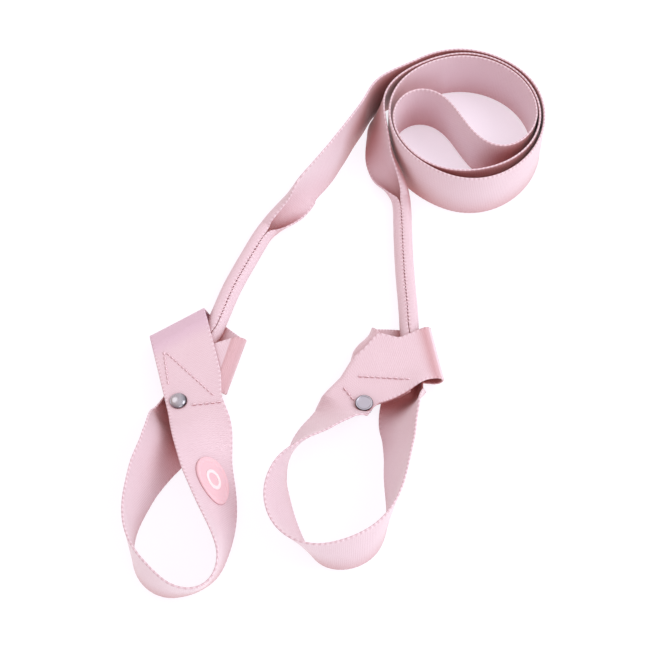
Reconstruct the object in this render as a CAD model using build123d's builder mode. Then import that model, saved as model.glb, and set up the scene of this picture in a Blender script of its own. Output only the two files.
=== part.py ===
from build123d import *
import math
import os

# Stretching strap: one long satin webbing strap, its middle wound up as a flat
# standing coil, and each end turned back on itself as an adjustable hand noose.
# Units are millimetres, +Z is up.  The coil and the nooses stand on the plane
# z = 0.  The origin is the middle of the bottom face of the bounding box.

# ---- webbing and stitches ----
WEB_WIDTH = 38.0
WEB_THICK = 1.5
EDGE_POINTS = 11          # points across the width of a curled section
MIN_CURL = 0.001          # stands in for a flat section, so the bend is never zero

STITCH_LENGTH = 3.2
STITCH_WIDTH = 0.7
STITCH_HEIGHT = 0.45
SEAM_THREAD = 0.8         # thread that closes the neck, between the selvedges

# ---- rivets ----
LEFT_RIVET = (-104.47, -65.73)
RIGHT_RIVET = (9.33, -68.13)
SHANK_DIA = 3.5
SOCKET_CLEARANCE = 0.08   # radial gap between a shank and its socket
BASE_TOP = 12.41          # top of both rivet bases, under the keeper's front layer

LEFT_FACE_TOP = 15 + WEB_THICK / 2   # the front layer's middle lies at z = 15
LEFT_CAP_SEAT = LEFT_FACE_TOP + 0.03
LEFT_CAP_DIA = 10.8       # domed cap
LEFT_CAP_HEIGHT = 2.9
LEFT_CAP_FILLET = 2.2
LEFT_SOCKET_DEPTH = 1.5
FLANGE_DIA = 8.6          # flange under the left keeper
FLANGE_THICK = 0.75
LEFT_SHANK_REACH = 1.35   # shank length inside the cap
SHANK_CHAMFER = 0.3

RIGHT_FACE_TOP = 17.08
RIGHT_CAP_SEAT = RIGHT_FACE_TOP + 0.2
RIGHT_DISC_DIA = 11.0     # flat disc
RIGHT_DISC_HEIGHT = 1.1
RIGHT_DISC_FILLET = 0.45
RIGHT_RIM_WIDTH = 1.3     # rim around the shallow recess in the disc
RIGHT_RECESS_DEPTH = 0.3
RECESS_CUT = 1            # height of the cutter, which passes out of the top
RIGHT_SHANK_REACH = 1.2   # shank length inside the base
UNDER_CAP_DIA = 10.6      # domed base under the right keeper
UNDER_CAP_HEIGHT = 2.4
UNDER_CAP_FILLET = 1.8
RIGHT_SOCKET_DEPTH = 1.4
SHANK_OVERLAP = 0.1       # the shank runs this far into its own flange or disc

# ---- holes through the keeper layers ----
RIVET_HOLE = 4.0
LEFT_HOLE_TOP = LEFT_FACE_TOP + 0.2
LEFT_HOLE_DEPTH = 3.9
RIGHT_HOLE_TOP = RIGHT_FACE_TOP + 0.5
RIGHT_HOLE_DEPTH = RIGHT_HOLE_TOP - BASE_TOP

# ---- curled sections ----
# Each row is one cross-section of the webbing: centre (3), width direction (3),
# travel direction (3), curl across the width in radians (0 = flat, about 6 =
# rolled into a tube), sideways factor and height factor of the curl.

LEFT_EXIT = [
    (46.2, 187.79, 19.2, -0.00038, -0.00026, 1, -0.86141, -0.50791, -0.00046, 0, 1, 1),
    (41.39, 185.01, 19.2, 0.00006, 0.00005, 1, -0.87138, -0.49061, 0.00007, 0, 1, 1),
    (36.51, 182.31, 19.2, 0.00011, -0.00007, 1, -0.87625, -0.48185, 0.00006, 0, 1, 1),
    (31.58, 179.52, 19.2, 0.00037, -0.00059, 1, -0.85812, -0.51344, 0.00001, 0, 1, 1),
    (26.8, 176.39, 19.2, 0.00135, -0.00142, 1, -0.80949, -0.58714, 0.00026, 0, 1, 1),
    (22.38, 172.75, 19.21, 0.00448, -0.0011, 0.99999, -0.72544, -0.68828, 0.0025, 0, 1, 1),
    (18.6, 168.47, 19.24, 0.00997, 0.00218, 0.99995, -0.58869, -0.80832, 0.00763, 0, 1, 1),
    (15.67, 163.59, 19.29, 0.01445, 0.00586, 0.99988, -0.44844, -0.89374, 0.01172, 0, 1, 1),
    (13.28, 158.4, 19.37, 0.01693, 0.00721, 0.99983, -0.41016, -0.91191, 0.01353, 0, 1, 1),
    (10.86, 153.33, 19.44, 0.01838, 0.00698, 0.99981, -0.45749, -0.88909, 0.01462, 0, 1, 1),
    (8.21, 148.46, 19.53, 0.01915, 0.00682, 0.99979, -0.49025, -0.87145, 0.01533, 0, 1, 1),
    (5.51, 143.64, 19.61, 0.01649, 0.00847, 0.99983, -0.48206, -0.876, 0.01537, 0, 1, 1),
    (2.89, 138.8, 19.69, 0.00386, 0.01297, 0.99991, -0.47246, -0.88125, 0.01325, 0, 1, 1),
]

LEFT_LEAD = [
    (2.42, 137.91, 19.71, 0.00068, 0.01384, 0.9999, -0.47259, -0.8812, 0.01252, 0, 1, 1),
    (0.21, 133.83, 19.75, -0.01484, 0.01661, 0.99975, -0.47945, -0.87754, 0.00746, 0, 1, 1),
    (-2.05, 129.77, 19.77, -0.03001, 0.01642, 0.99941, -0.49407, -0.86942, -0.00055, 0, 1, 1),
    (-4.39, 125.76, 19.74, -0.04555, 0.01369, 0.99887, -0.51568, -0.8567, -0.01178, 0, 1, 1),
    (-6.85, 121.82, 19.66, -0.06238, 0.00906, 0.99801, -0.54566, -0.83759, -0.02651, 0.013, 1, 1),
    (-9.47, 118, 19.5, -0.07912, 0.00469, 0.99685, -0.58565, -0.80944, -0.04268, 0.106, 1, 1),
    (-12.29, 114.33, 19.27, -0.0898, 0.00654, 0.99594, -0.63439, -0.77125, -0.05214, 0.2, 1, 0.999),
    (-15.35, 110.86, 19.03, -0.09057, 0.01529, 0.99577, -0.68437, -0.72735, -0.05108, 0.333, 0.999, 0.997),
    (-18.6, 107.6, 18.8, -0.0893, 0.02077, 0.99579, -0.72399, -0.68795, -0.05057, 0.511, 0.998, 0.994),
    (-21.99, 104.51, 18.55, -0.0931, 0.0185, 0.99548, -0.74905, -0.65999, -0.05779, 0.692, 0.997, 0.989),
    (-25.45, 101.53, 18.24, -0.11941, -0.00299, 0.99284, -0.75918, -0.64416, -0.09324, 0.973, 0.995, 0.978),
    (-28.9, 98.61, 17.49, -0.24481, -0.10246, 0.96414, -0.73801, -0.62523, -0.25384, 1.263, 0.992, 0.964),
    (-32.31, 95.69, 15.84, -0.37276, -0.19365, 0.9075, -0.68646, -0.60049, -0.41011, 1.778, 0.984, 0.934),
    (-35.61, 92.71, 13.75, -0.4014, -0.17849, 0.89834, -0.66446, -0.61831, -0.41975, 2.342, 0.975, 0.893),
    (-38.78, 89.65, 11.85, -0.40733, -0.10709, 0.90698, -0.65493, -0.65789, -0.37181, 2.912, 0.964, 0.849),
    (-41.81, 86.49, 10.17, -0.4504, -0.03538, 0.89213, -0.63703, -0.68738, -0.34887, 3.426, 0.955, 0.807),
    (-44.73, 83.25, 8.55, -0.5214, 0.03241, 0.8527, -0.61596, -0.70585, -0.34981, 3.938, 0.945, 0.767),
    (-47.54, 79.93, 6.93, -0.59524, 0.10887, 0.79614, -0.59614, -0.72418, -0.34668, 4.423, 0.937, 0.732),
    (-50.26, 76.51, 5.23, -0.69849, 0.14389, 0.70101, -0.55388, -0.72898, -0.40225, 4.909, 0.93, 0.666),
    (-52.84, 72.91, 3.61, -0.70092, 0.28593, 0.65341, -0.54385, -0.80697, -0.23026, 5.444, 0.924, 0.588),
    (-55.24, 69.08, 3.14, -0.71005, 0.40318, 0.5773, -0.50054, -0.86565, -0.01107, 5.855, 0.921, 0.57),
]

LEFT_NECK = [
    (-55.73, 68.22, 3.14, -0.72182, 0.40516, 0.56109, -0.48776, -0.87298, 0.00289, 5.947, 0.921, 0.576),
    (-57.56, 64.71, 3.15, -0.77184, 0.3803, 0.50955, -0.44198, -0.89702, -0.00001, 6.06, 0.92, 0.584),
    (-59.26, 61.1, 3.15, -0.80339, 0.36276, 0.4722, -0.41153, -0.91139, 0, 6.06, 0.92, 0.584),
    (-60.87, 57.44, 3.15, -0.82153, 0.35683, 0.44471, -0.39839, -0.91721, 0, 6.06, 0.92, 0.584),
    (-62.46, 53.77, 3.15, -0.83107, 0.36102, 0.42308, -0.39843, -0.9172, 0, 6.06, 0.92, 0.584),
    (-64.67, 48.74, 3.15, -0.83814, 0.37152, 0.39937, -0.40524, -0.91421, 0, 6.06, 0.92, 0.584),
    (-68.34, 40.52, 3.15, -0.84676, 0.3785, 0.3738, -0.40808, -0.91295, 0, 6.06, 0.92, 0.584),
    (-71.99, 32.3, 3.15, -0.85346, 0.37441, 0.36252, -0.40174, -0.91575, 0, 6.06, 0.92, 0.584),
    (-75.47, 24.04, 3.15, -0.87034, 0.33861, 0.35757, -0.36258, -0.93195, 0, 6.06, 0.92, 0.584),
    (-78.46, 15.72, 3.15, -0.88666, 0.29828, 0.35336, -0.31885, -0.94781, 0, 6.06, 0.92, 0.584),
    (-81.19, 7.32, 3.15, -0.89237, 0.28528, 0.34971, -0.30451, -0.95251, 0, 6.06, 0.92, 0.584),
    (-83.96, -1.19, 3.15, -0.89259, 0.28943, 0.3457, -0.30844, -0.95124, 0, 6.06, 0.92, 0.584),
    (-87.22, -11.79, 3.15, -0.94387, 0.28485, 0.16723, -0.28891, -0.95736, 0, 6.06, 0.92, 0.584),
]

LEFT_RETURN = [
    LEFT_NECK[-1],
    (-89.13, -17.97, 3.15, -0.95333, 0.30191, 0.00234, -0.30191, -0.95334, 0, 6.06, 0.92, 0.584),
    (-91.11, -24.1, 3.15, -0.94987, 0.31265, 0, -0.31265, -0.94987, 0, 5.708, 0.922, 0.56),
    (-93.12, -30.21, 3.15, -0.95142, 0.30789, 0, -0.30789, -0.95142, 0, 5.325, 0.925, 0.542),
    (-95.06, -36.37, 3.15, -0.95529, 0.29566, 0, -0.29566, -0.95529, 0, 4.942, 0.929, 0.532),
    (-96.95, -42.56, 3.15, -0.95745, 0.28861, 0, -0.28861, -0.95745, 0, 4.559, 0.935, 0.531),
    (-98.82, -48.76, 3.15, -0.95726, 0.28924, 0, -0.28924, -0.95726, 0, 4.176, 0.941, 0.537),
    (-100.71, -54.95, 3.15, -0.955, 0.29661, 0, -0.29661, -0.955, 0, 3.793, 0.948, 0.552),
    (-102.67, -61.13, 3.15, -0.95125, 0.30842, 0.00001, -0.30842, -0.95124, -0.00447, 3.41, 0.955, 0.578),
    (-104.79, -67.27, 2.83, -0.9402, 0.34061, 0.00013, -0.33967, -0.93756, -0.07483, 2.973, 0.963, 0.656),
    (-106.97, -73.28, 2.72, -0.94172, 0.33587, 0.01872, -0.33217, -0.93727, 0.10578, 2.534, 0.971, 0.784),
    (-108.87, -78.92, 4.65, -0.92201, 0.36619, 0.12569, -0.26462, -0.83303, 0.48584, 2.095, 0.979, 0.894),
    (-110.48, -84.27, 8.32, -0.84437, 0.44038, 0.30514, -0.23368, -0.81522, 0.52991, 1.656, 0.986, 0.942),
    (-112.02, -89.76, 11.39, -0.73804, 0.4506, 0.50226, -0.25303, -0.87485, 0.41306, 1.216, 0.992, 0.967),
    (-113.82, -95.54, 13.62, -0.60598, 0.41376, 0.67941, -0.30263, -0.90977, 0.28413, 0.777, 0.997, 0.986),
    (-115.9, -101.46, 15.18, -0.4826, 0.35896, 0.7989, -0.3376, -0.91791, 0.2085, 0.347, 0.999, 0.997),
    (-118.15, -107.43, 16.41, -0.40013, 0.31116, 0.86202, -0.35072, -0.92099, 0.16964, 0.234, 1, 0.999),
    (-120.4, -113.45, 17.38, -0.35775, 0.25367, 0.8987, -0.33568, -0.933, 0.12973, 0.12, 1, 1),
    (-122.47, -119.55, 18.08, -0.32629, 0.18639, 0.92671, -0.30297, -0.94927, 0.08425, 0.007, 1, 1),
    (-124.34, -125.72, 18.49, -0.28597, 0.13066, 0.94929, -0.2784, -0.95926, 0.04817, 0, 1, 1),
    (-126.1, -131.95, 18.76, -0.23719, 0.10104, 0.96619, -0.2648, -0.96364, 0.03577, 0, 1, 1),
    (-127.72, -138.21, 18.96, -0.19052, 0.07242, 0.97901, -0.22986, -0.97284, 0.02724, 0, 1, 1),
    (-128.97, -144.56, 19.12, -0.14572, 0.04694, 0.98821, -0.148, -0.98867, 0.02513, 0, 1, 1),
    (-129.56, -150.99, 19.29, -0.10284, 0.03071, 0.99422, -0.03017, -0.99916, 0.02774, 0, 1, 1),
    (-129.34, -157.44, 19.48, -0.06387, 0.02275, 0.9977, 0.09937, -0.99463, 0.02904, 0, 1, 1),
    (-128.27, -163.8, 19.66, -0.02819, 0.02069, 0.99939, 0.2342, -0.97182, 0.02673, 0, 1, 1),
    (-126.3, -169.94, 19.81, 0.00442, 0.02212, 0.99975, 0.37643, -0.92625, 0.01883, 0, 1, 1),
    (-123.4, -175.69, 19.89, 0.02931, 0.02258, 0.99932, 0.52483, -0.8512, 0.00384, 0, 1, 1),
    (-119.55, -180.86, 19.84, 0.04174, 0.01175, 0.99906, 0.663, -0.74838, -0.0189, 0, 1, 1),
    (-114.9, -185.31, 19.64, 0.03964, -0.02011, 0.99901, 0.77564, -0.62968, -0.04345, 0, 1, 1),
    (-109.59, -188.94, 19.33, 0.01071, -0.07499, 0.99713, 0.86966, -0.49148, -0.04631, 0, 1, 1),
    (-103.74, -191.53, 19.06, -0.00656, -0.168, 0.98577, 0.95203, -0.30266, -0.04524, 0, 1, 1),
    (-97.48, -192.68, 18.72, 0.04119, -0.26482, 0.96342, 0.99719, -0.04944, -0.05622, 0, 1, 1),
]

LEFT_FRONT = [
    (-96.1, -192.71, 18.64, 0.0551, -0.27929, 0.95862, 0.99847, 0.01093, -0.05421, 0, 1, 1),
    (-91.19, -192.1, 18.43, 0.10359, -0.3077, 0.94583, 0.97114, 0.23671, -0.02935, 0, 1, 1),
    (-86.58, -190.35, 18.38, 0.14541, -0.29838, 0.94331, 0.87961, 0.47546, 0.0148, 0, 1, 1),
    (-82.62, -187.43, 18.57, 0.16932, -0.24782, 0.9539, 0.71049, 0.70147, 0.05613, 0, 1, 1),
    (-79.62, -183.53, 18.88, 0.15754, -0.16401, 0.9738, 0.50701, 0.85965, 0.06276, 0, 1, 1),
    (-77.57, -179.03, 19.14, 0.10453, -0.07642, 0.99158, 0.32477, 0.94501, 0.03859, 0, 1, 1),
    (-76.34, -174.2, 19.28, 0.01841, -0.0276, 0.99945, 0.17381, 0.98449, 0.02399, 0, 1, 1),
    (-75.78, -169.23, 19.41, -0.08067, -0.02397, 0.99645, 0.05399, 0.99814, 0.02838, 0, 1, 1),
    (-75.74, -164.22, 19.55, -0.18107, -0.02968, 0.98302, -0.02968, 0.99925, 0.02471, 0, 1, 1),
    (-76.02, -159.19, 19.64, -0.28111, -0.03133, 0.95917, -0.07915, 0.99682, 0.00937, 0, 1, 1),
    (-76.5, -154.18, 19.64, -0.37702, -0.03443, 0.92557, -0.11005, 0.9939, -0.00786, 0, 1, 1),
    (-77.13, -149.19, 19.56, -0.46445, -0.04236, 0.88458, -0.13657, 0.99033, -0.02429, 0, 1, 1),
    (-77.88, -144.22, 19.4, -0.5401, -0.05455, 0.83983, -0.16211, 0.98595, -0.04021, 0, 1, 1),
    (-78.76, -139.27, 19.16, -0.60267, -0.06872, 0.79503, -0.18648, 0.98083, -0.05659, 0, 1, 1),
    (-79.75, -134.34, 18.83, -0.65353, -0.08282, 0.75235, -0.20917, 0.97505, -0.07436, 0, 1, 1),
    (-80.86, -129.45, 18.4, -0.69518, -0.09625, 0.71236, -0.2295, 0.96885, -0.09306, 0, 1, 1),
    (-82.06, -124.59, 17.89, -0.7299, -0.10925, 0.67477, -0.24493, 0.9634, -0.10896, 0, 1, 1),
    (-83.31, -119.75, 17.32, -0.75964, -0.12134, 0.63892, -0.25182, 0.96068, -0.11695, 0, 1, 1),
    (-84.57, -114.91, 16.73, -0.78501, -0.12789, 0.60614, -0.24456, 0.96296, -0.11354, 0, 1, 1),
    (-85.74, -110.04, 16.2, -0.80749, -0.12173, 0.57719, -0.21546, 0.97173, -0.0965, 0, 1, 1),
    (-86.72, -105.13, 15.77, -0.83423, -0.11096, 0.54013, -0.17814, 0.98125, -0.07356, 0, 1, 1),
    (-87.54, -100.17, 15.46, -0.86898, -0.10534, 0.4835, -0.14896, 0.98744, -0.05259, 0, 1, 1),
    (-88.24, -95.19, 15.24, -0.90704, -0.10556, 0.40759, -0.13106, 0.99076, -0.03505, 0, 1, 1),
    (-88.88, -90.2, 15.1, -0.94137, -0.11144, 0.31843, -0.12452, 0.992, -0.02097, 0, 1, 1),
    (-89.51, -85.21, 15.02, -0.96644, -0.12372, 0.22513, -0.12933, 0.99155, -0.01032, 0, 1, 1),
    (-90.2, -80.22, 15, -0.98297, -0.14456, 0.11344, -0.1455, 0.98936, 0, 0, 1, 1),
    (-90.99, -75.25, 15, -0.98548, -0.16876, 0.01889, -0.16879, 0.98565, 0, 0, 1, 1),
]

RIGHT_EXIT = [
    (64.1, 191.55, 19.2, -0.00045, -0.00131, 1, -0.94401, -0.32991, -0.00086, 0, 1, 1),
    (59, 189.65, 19.2, 0.00313, -0.00489, 0.99998, -0.92859, -0.37112, 0.0011, -0.004, 1, 1),
    (54.03, 187.54, 19.21, 0.00701, -0.01443, 0.99987, -0.91159, -0.41109, 0.00045, -0.014, 1, 1),
    (49.12, 185.2, 19.21, 0.01456, -0.02857, 0.99949, -0.89248, -0.45109, 0.0001, -0.028, 1, 1),
    (44.34, 182.63, 19.22, 0.02884, -0.04525, 0.99856, -0.86681, -0.49863, 0.00244, -0.045, 1, 1),
    (39.72, 179.77, 19.24, 0.04803, -0.06468, 0.99675, -0.83362, -0.55232, 0.00433, -0.064, 1, 1),
    (35.31, 176.61, 19.25, 0.06985, -0.08805, 0.99366, -0.78917, -0.61418, 0.00105, -0.084, 1, 1),
    (31.18, 173.09, 19.24, 0.09739, -0.11294, 0.98882, -0.72707, -0.68653, -0.0068, -0.105, 1, 1),
    (27.47, 169.15, 19.17, 0.13357, -0.1344, 0.98188, -0.63801, -0.7698, -0.01858, -0.126, 1, 1),
    (24.35, 164.75, 19.03, 0.17868, -0.14394, 0.97332, -0.50934, -0.85991, -0.03366, -0.145, 1, 0.999),
    (22.06, 159.88, 18.82, 0.22769, -0.125, 0.96568, -0.33084, -0.94266, -0.04401, -0.159, 1, 0.999),
    (20.85, 154.66, 18.59, 0.26192, -0.07068, 0.9625, -0.11742, -0.99224, -0.04091, -0.168, 1, 0.999),
    (20.74, 149.29, 18.32, 0.27678, -0.0457, 0.95985, 0.06528, -0.99567, -0.06623, -0.221, 1, 0.999),
    (21.45, 143.97, 17.78, 0.30523, -0.07821, 0.94906, 0.19238, -0.97101, -0.14189, -0.426, 0.999, 0.996),
    (22.77, 138.82, 16.79, 0.34822, -0.1143, 0.93042, 0.29005, -0.93069, -0.22289, -0.73, 0.997, 0.987),
    (24.51, 133.88, 15.37, 0.40034, -0.14741, 0.90443, 0.34062, -0.89232, -0.29621, -1.14, 0.993, 0.97),
    (26.42, 129.02, 13.6, 0.44813, -0.16026, 0.87949, 0.3468, -0.87559, -0.33625, -1.641, 0.986, 0.943),
    (28.35, 124.14, 11.79, 0.47591, -0.11326, 0.87217, 0.35144, -0.88457, -0.30664, -2.208, 0.977, 0.904),
    (30.33, 119.27, 10.2, 0.51314, -0.05777, 0.85636, 0.36962, -0.88561, -0.28122, -2.673, 0.969, 0.868),
]

RIGHT_LEAD = [
    (30.92, 117.86, 9.75, 0.52854, -0.04609, 0.84766, 0.37356, -0.88402, -0.28099, -2.809, 0.966, 0.857),
    (32.68, 113.71, 8.41, 0.58602, -0.02246, 0.80999, 0.36727, -0.88368, -0.29022, -3.293, 0.957, 0.818),
    (34.31, 109.56, 7.04, 0.65907, -0.00951, 0.75203, 0.32432, -0.89858, -0.29559, -3.83, 0.947, 0.775),
    (35.66, 105.32, 5.68, 0.74004, -0.00487, 0.67255, 0.25129, -0.92555, -0.28322, -4.411, 0.937, 0.733),
    (36.63, 100.93, 4.38, 0.82158, -0.0286, 0.56937, 0.1664, -0.94322, -0.28748, -4.939, 0.929, 0.671),
    (37.24, 96.41, 3.29, 0.88057, 0.01946, 0.47351, 0.09443, -0.98632, -0.13509, -5.475, 0.924, 0.593),
    (37.54, 91.78, 3.1, 0.92838, 0.03962, 0.36952, 0.03503, -0.9992, 0.01913, -5.885, 0.921, 0.572),
]

RIGHT_NECK = [
    (37.57, 90.79, 3.12, 0.93616, 0.03068, 0.35022, 0.02446, -0.99945, 0.02217, -6.038, 0.92, 0.582),
    (37.59, 86.8, 3.15, 0.95891, -0.00907, 0.28358, -0.00946, -0.99996, 0, -6.06, 0.92, 0.584),
    (37.51, 82.81, 3.15, 0.97213, -0.02827, 0.23273, -0.02907, -0.99958, 0, -6.06, 0.92, 0.584),
    (37.38, 78.82, 3.15, 0.98004, -0.03358, 0.19595, -0.03424, -0.99941, 0, -6.06, 0.92, 0.584),
    (37.25, 74.83, 3.15, 0.98512, -0.02768, 0.16964, -0.02809, -0.99961, 0, -6.06, 0.92, 0.584),
    (37.14, 69.33, 3.15, 0.98919, -0.01325, 0.14606, -0.01339, -0.99991, 0, -6.06, 0.92, 0.584),
    (37.1, 60.33, 3.15, 0.99165, 0.00475, 0.12886, 0.00479, -0.99999, 0, -6.06, 0.92, 0.584),
    (37.21, 51.33, 3.15, 0.99162, 0.01813, 0.12792, 0.01828, -0.99983, 0, -6.06, 0.92, 0.584),
    (37.43, 42.34, 3.15, 0.99019, 0.03098, 0.13628, 0.03127, -0.99951, 0, -6.06, 0.92, 0.584),
    (37.77, 33.34, 3.15, 0.98802, 0.04309, 0.14821, 0.04357, -0.99905, 0, -6.06, 0.92, 0.584),
    (38.21, 24.35, 3.15, 0.98623, 0.0518, 0.15703, 0.05246, -0.99862, 0, -6.06, 0.92, 0.584),
    (38.69, 15.37, 3.15, 0.98619, 0.05145, 0.15742, 0.0521, -0.99864, 0, -6.06, 0.92, 0.584),
    (39.1, 6.37, 3.15, 0.98744, 0.03668, 0.15365, 0.03712, -0.99931, 0, -6.06, 0.92, 0.584),
    (39.34, -2.62, 3.15, 0.98872, 0.01667, 0.14888, 0.01686, -0.99986, 0, -6.06, 0.92, 0.584),
    (39.42, -11.62, 3.15, 0.99605, 0.00418, 0.08872, 0.0042, -0.99999, 0, -6.06, 0.92, 0.584),
    (39.44, -16.02, 3.15, 0.99967, 0.00456, 0.02518, 0.00456, -0.99999, 0, -6.06, 0.92, 0.584),
]

RIGHT_RETURN = [
    RIGHT_NECK[-1],
    (39.48, -22.41, 3.15, 0.99996, 0.00877, 0, 0.00877, -0.99996, 0, -5.832, 0.921, 0.567),
    (39.55, -28.78, 3.15, 0.99995, 0.00993, 0, 0.00993, -0.99995, 0, -5.223, 0.926, 0.539),
    (39.6, -35.13, 3.15, 0.99998, 0.00618, 0, 0.00618, -0.99998, 0, -4.615, 0.934, 0.53),
    (39.61, -41.48, 3.15, 1, -0.00251, 0.00005, -0.00251, -0.99999, -0.00315, -4.007, 0.944, 0.542),
    (39.53, -47.86, 2.82, 0.99918, -0.0311, 0.02593, -0.02852, -0.9951, -0.09464, -3.4, 0.955, 0.606),
    (39.15, -54.14, 2.34, 0.98446, -0.10288, 0.14233, -0.10297, -0.99466, -0.00673, -2.871, 0.965, 0.727),
    (38.19, -60.04, 3.28, 0.9198, -0.06438, 0.38706, -0.20624, -0.91853, 0.33731, -2.343, 0.975, 0.854),
    (36.71, -65.46, 6.28, 0.82287, 0.11905, 0.55563, -0.24915, -0.80322, 0.54108, -1.815, 0.984, 0.931),
    (35.02, -70.81, 9.7, 0.72261, 0.18417, 0.66627, -0.25241, -0.827, 0.50235, -1.287, 0.991, 0.963),
    (33.47, -76.42, 12.88, 0.64063, 0.22124, 0.73529, -0.20871, -0.87137, 0.44402, -0.759, 0.997, 0.986),
    (32.32, -82.37, 15.27, 0.56123, 0.14271, 0.81526, -0.14431, -0.95306, 0.26617, -0.325, 0.999, 0.997),
    (31.57, -88.56, 16.4, 0.50945, 0.05177, 0.85894, -0.10102, -0.98769, 0.11945, -0.213, 1, 0.999),
    (30.92, -94.84, 17.05, 0.47454, 0.02727, 0.87981, -0.11217, -0.9895, 0.09117, -0.101, 1, 1),
    (30.12, -101.13, 17.59, 0.44432, 0.0165, 0.89572, -0.13259, -0.98761, 0.08396, 0, 1, 1),
    (29.29, -107.44, 18.12, 0.41434, 0.02082, 0.90989, -0.12178, -0.98948, 0.0781, 0, 1, 1),
    (28.6, -113.78, 18.54, 0.3745, 0.011, 0.92716, -0.09652, -0.99403, 0.05078, 0, 1, 1),
    (28.03, -120.16, 18.78, 0.32564, -0.00375, 0.94549, -0.08348, -0.9962, 0.0248, 0, 1, 1),
    (27.47, -126.53, 18.89, 0.27142, -0.015, 0.96234, -0.09827, -0.99508, 0.01221, 0, 1, 1),
    (26.68, -132.88, 18.97, 0.21486, -0.01962, 0.97645, -0.15634, -0.9876, 0.01455, 0, 1, 1),
    (25.4, -139.15, 19.08, 0.15732, -0.02035, 0.98734, -0.2477, -0.96864, 0.01951, 0, 1, 1),
    (23.5, -145.25, 19.21, 0.10084, -0.01251, 0.99482, -0.34638, -0.93781, 0.02331, 0, 1, 1),
    (20.96, -151.1, 19.39, 0.05041, 0.00968, 0.99868, -0.4518, -0.89157, 0.03144, 0, 1, 1),
    (17.68, -156.56, 19.59, 0.00651, 0.03422, 0.99939, -0.5845, -0.81078, 0.03157, 0, 1, 1),
    (13.47, -161.32, 19.77, -0.0232, 0.05836, 0.99803, -0.73345, -0.67937, 0.02268, 0, 1, 1),
    (8.41, -165.16, 19.87, -0.03695, 0.07262, 0.99668, -0.8514, -0.52448, 0.00665, 0, 1, 1),
    (2.72, -168.01, 19.84, -0.04282, 0.06688, 0.99684, -0.92859, -0.37079, -0.01502, 0, 1, 1),
    (-3.37, -169.86, 19.67, -0.04632, 0.03887, 0.99817, -0.97828, -0.20389, -0.03746, 0, 1, 1),
    (-9.68, -170.55, 19.41, -0.04031, -0.01131, 0.99912, -0.99914, -0.00972, -0.04042, 0, 1, 1),
]

RIGHT_FRONT = [
    (-11.07, -170.53, 19.35, -0.0382, -0.0262, 0.99893, -0.99866, 0.03607, -0.03724, 0, 1, 1),
    (-16.06, -169.92, 19.2, -0.04927, -0.08934, 0.99478, -0.97737, 0.20946, -0.0296, 0, 1, 1),
    (-20.85, -168.41, 19.01, -0.11313, -0.14614, 0.98277, -0.91969, 0.38971, -0.04792, 0, 1, 1),
    (-25.25, -166.02, 18.7, -0.20592, -0.1772, 0.96239, -0.8263, 0.55834, -0.074, 0, 1, 1),
    (-29.15, -162.84, 18.29, -0.29191, -0.18855, 0.93768, -0.71725, 0.69171, -0.0842, 0, 1, 1),
    (-32.52, -159.07, 17.88, -0.35995, -0.18916, 0.91359, -0.60955, 0.78902, -0.0768, 0, 1, 1),
    (-35.35, -154.88, 17.54, -0.40881, -0.18265, 0.89415, -0.50782, 0.8596, -0.05659, 0, 1, 1),
    (-37.69, -150.37, 17.31, -0.43949, -0.1714, 0.88174, -0.41402, 0.90979, -0.02951, 0, 1, 1),
    (-39.57, -145.66, 17.24, -0.45298, -0.15712, 0.87757, -0.32698, 0.94503, 0.00042, 0, 1, 1),
    (-41, -140.79, 17.32, -0.45004, -0.13846, 0.88221, -0.23685, 0.97103, 0.03157, 0, 1, 1),
    (-41.95, -135.81, 17.56, -0.42955, -0.1151, 0.89568, -0.13566, 0.98881, 0.06201, 0, 1, 1),
    (-42.37, -130.76, 17.94, -0.38844, -0.08988, 0.91708, -0.0255, 0.9959, 0.08681, 0, 1, 1),
    (-42.21, -125.71, 18.42, -0.32378, -0.06239, 0.94407, 0.08695, 0.99164, 0.09535, 0, 1, 1),
    (-41.48, -120.71, 18.86, -0.23203, -0.02825, 0.9723, 0.1984, 0.97719, 0.07574, 0, 1, 1),
    (-40.21, -115.82, 19.16, -0.11783, -0.01049, 0.99298, 0.30273, 0.95196, 0.04599, 0, 1, 1),
    (-38.45, -111.09, 19.39, -0.00746, -0.05196, 0.99862, 0.39103, 0.91898, 0.05074, 0, 1, 1),
    (-36.27, -106.52, 19.69, 0.0935, -0.12358, 0.98792, 0.46381, 0.88342, 0.06661, 0, 1, 1),
    (-33.75, -102.12, 20.02, 0.19831, -0.18742, 0.96205, 0.53151, 0.84526, 0.05511, 0, 1, 1),
    (-30.87, -97.94, 20.22, 0.29916, -0.24774, 0.92148, 0.60039, 0.79946, 0.02002, 0, 1, 1),
    (-27.66, -94.01, 20.21, 0.38034, -0.30903, 0.87169, 0.66293, 0.7483, -0.02397, 0, 1, 1),
    (-24.17, -90.32, 19.99, 0.43723, -0.36572, 0.82163, 0.70345, 0.70829, -0.05907, 0, 1, 1),
    (-20.56, -86.75, 19.63, 0.48412, -0.39992, 0.77826, 0.70832, 0.70132, -0.08023, 0, 1, 1),
    (-16.93, -83.19, 19.18, 0.50526, -0.42952, 0.74848, 0.72321, 0.68396, -0.09571, 0, 1, 1),
    (-13.15, -79.64, 18.65, 0.53424, -0.45183, 0.71444, 0.72173, 0.68382, -0.10723, 0, 1, 1),
    (-9.41, -75.98, 18.06, 0.59422, -0.47147, 0.65162, 0.69591, 0.70758, -0.12265, 0, 1, 1),
    (-5.91, -72.21, 16.92, 0.74945, -0.45613, 0.47986, 0.62496, 0.72663, -0.28537, 0, 1, 1),
    (-2.98, -68.18, 15.55, 0.86628, -0.49032, 0.09565, 0.49916, 0.84192, -0.20496, 0, 1, 1),
]

# ---- fold sections ----
# Flat cross-sections of the keepers: centre (3), direction of the fold line (3),
# face normal (3), half length along the fold line.

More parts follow.
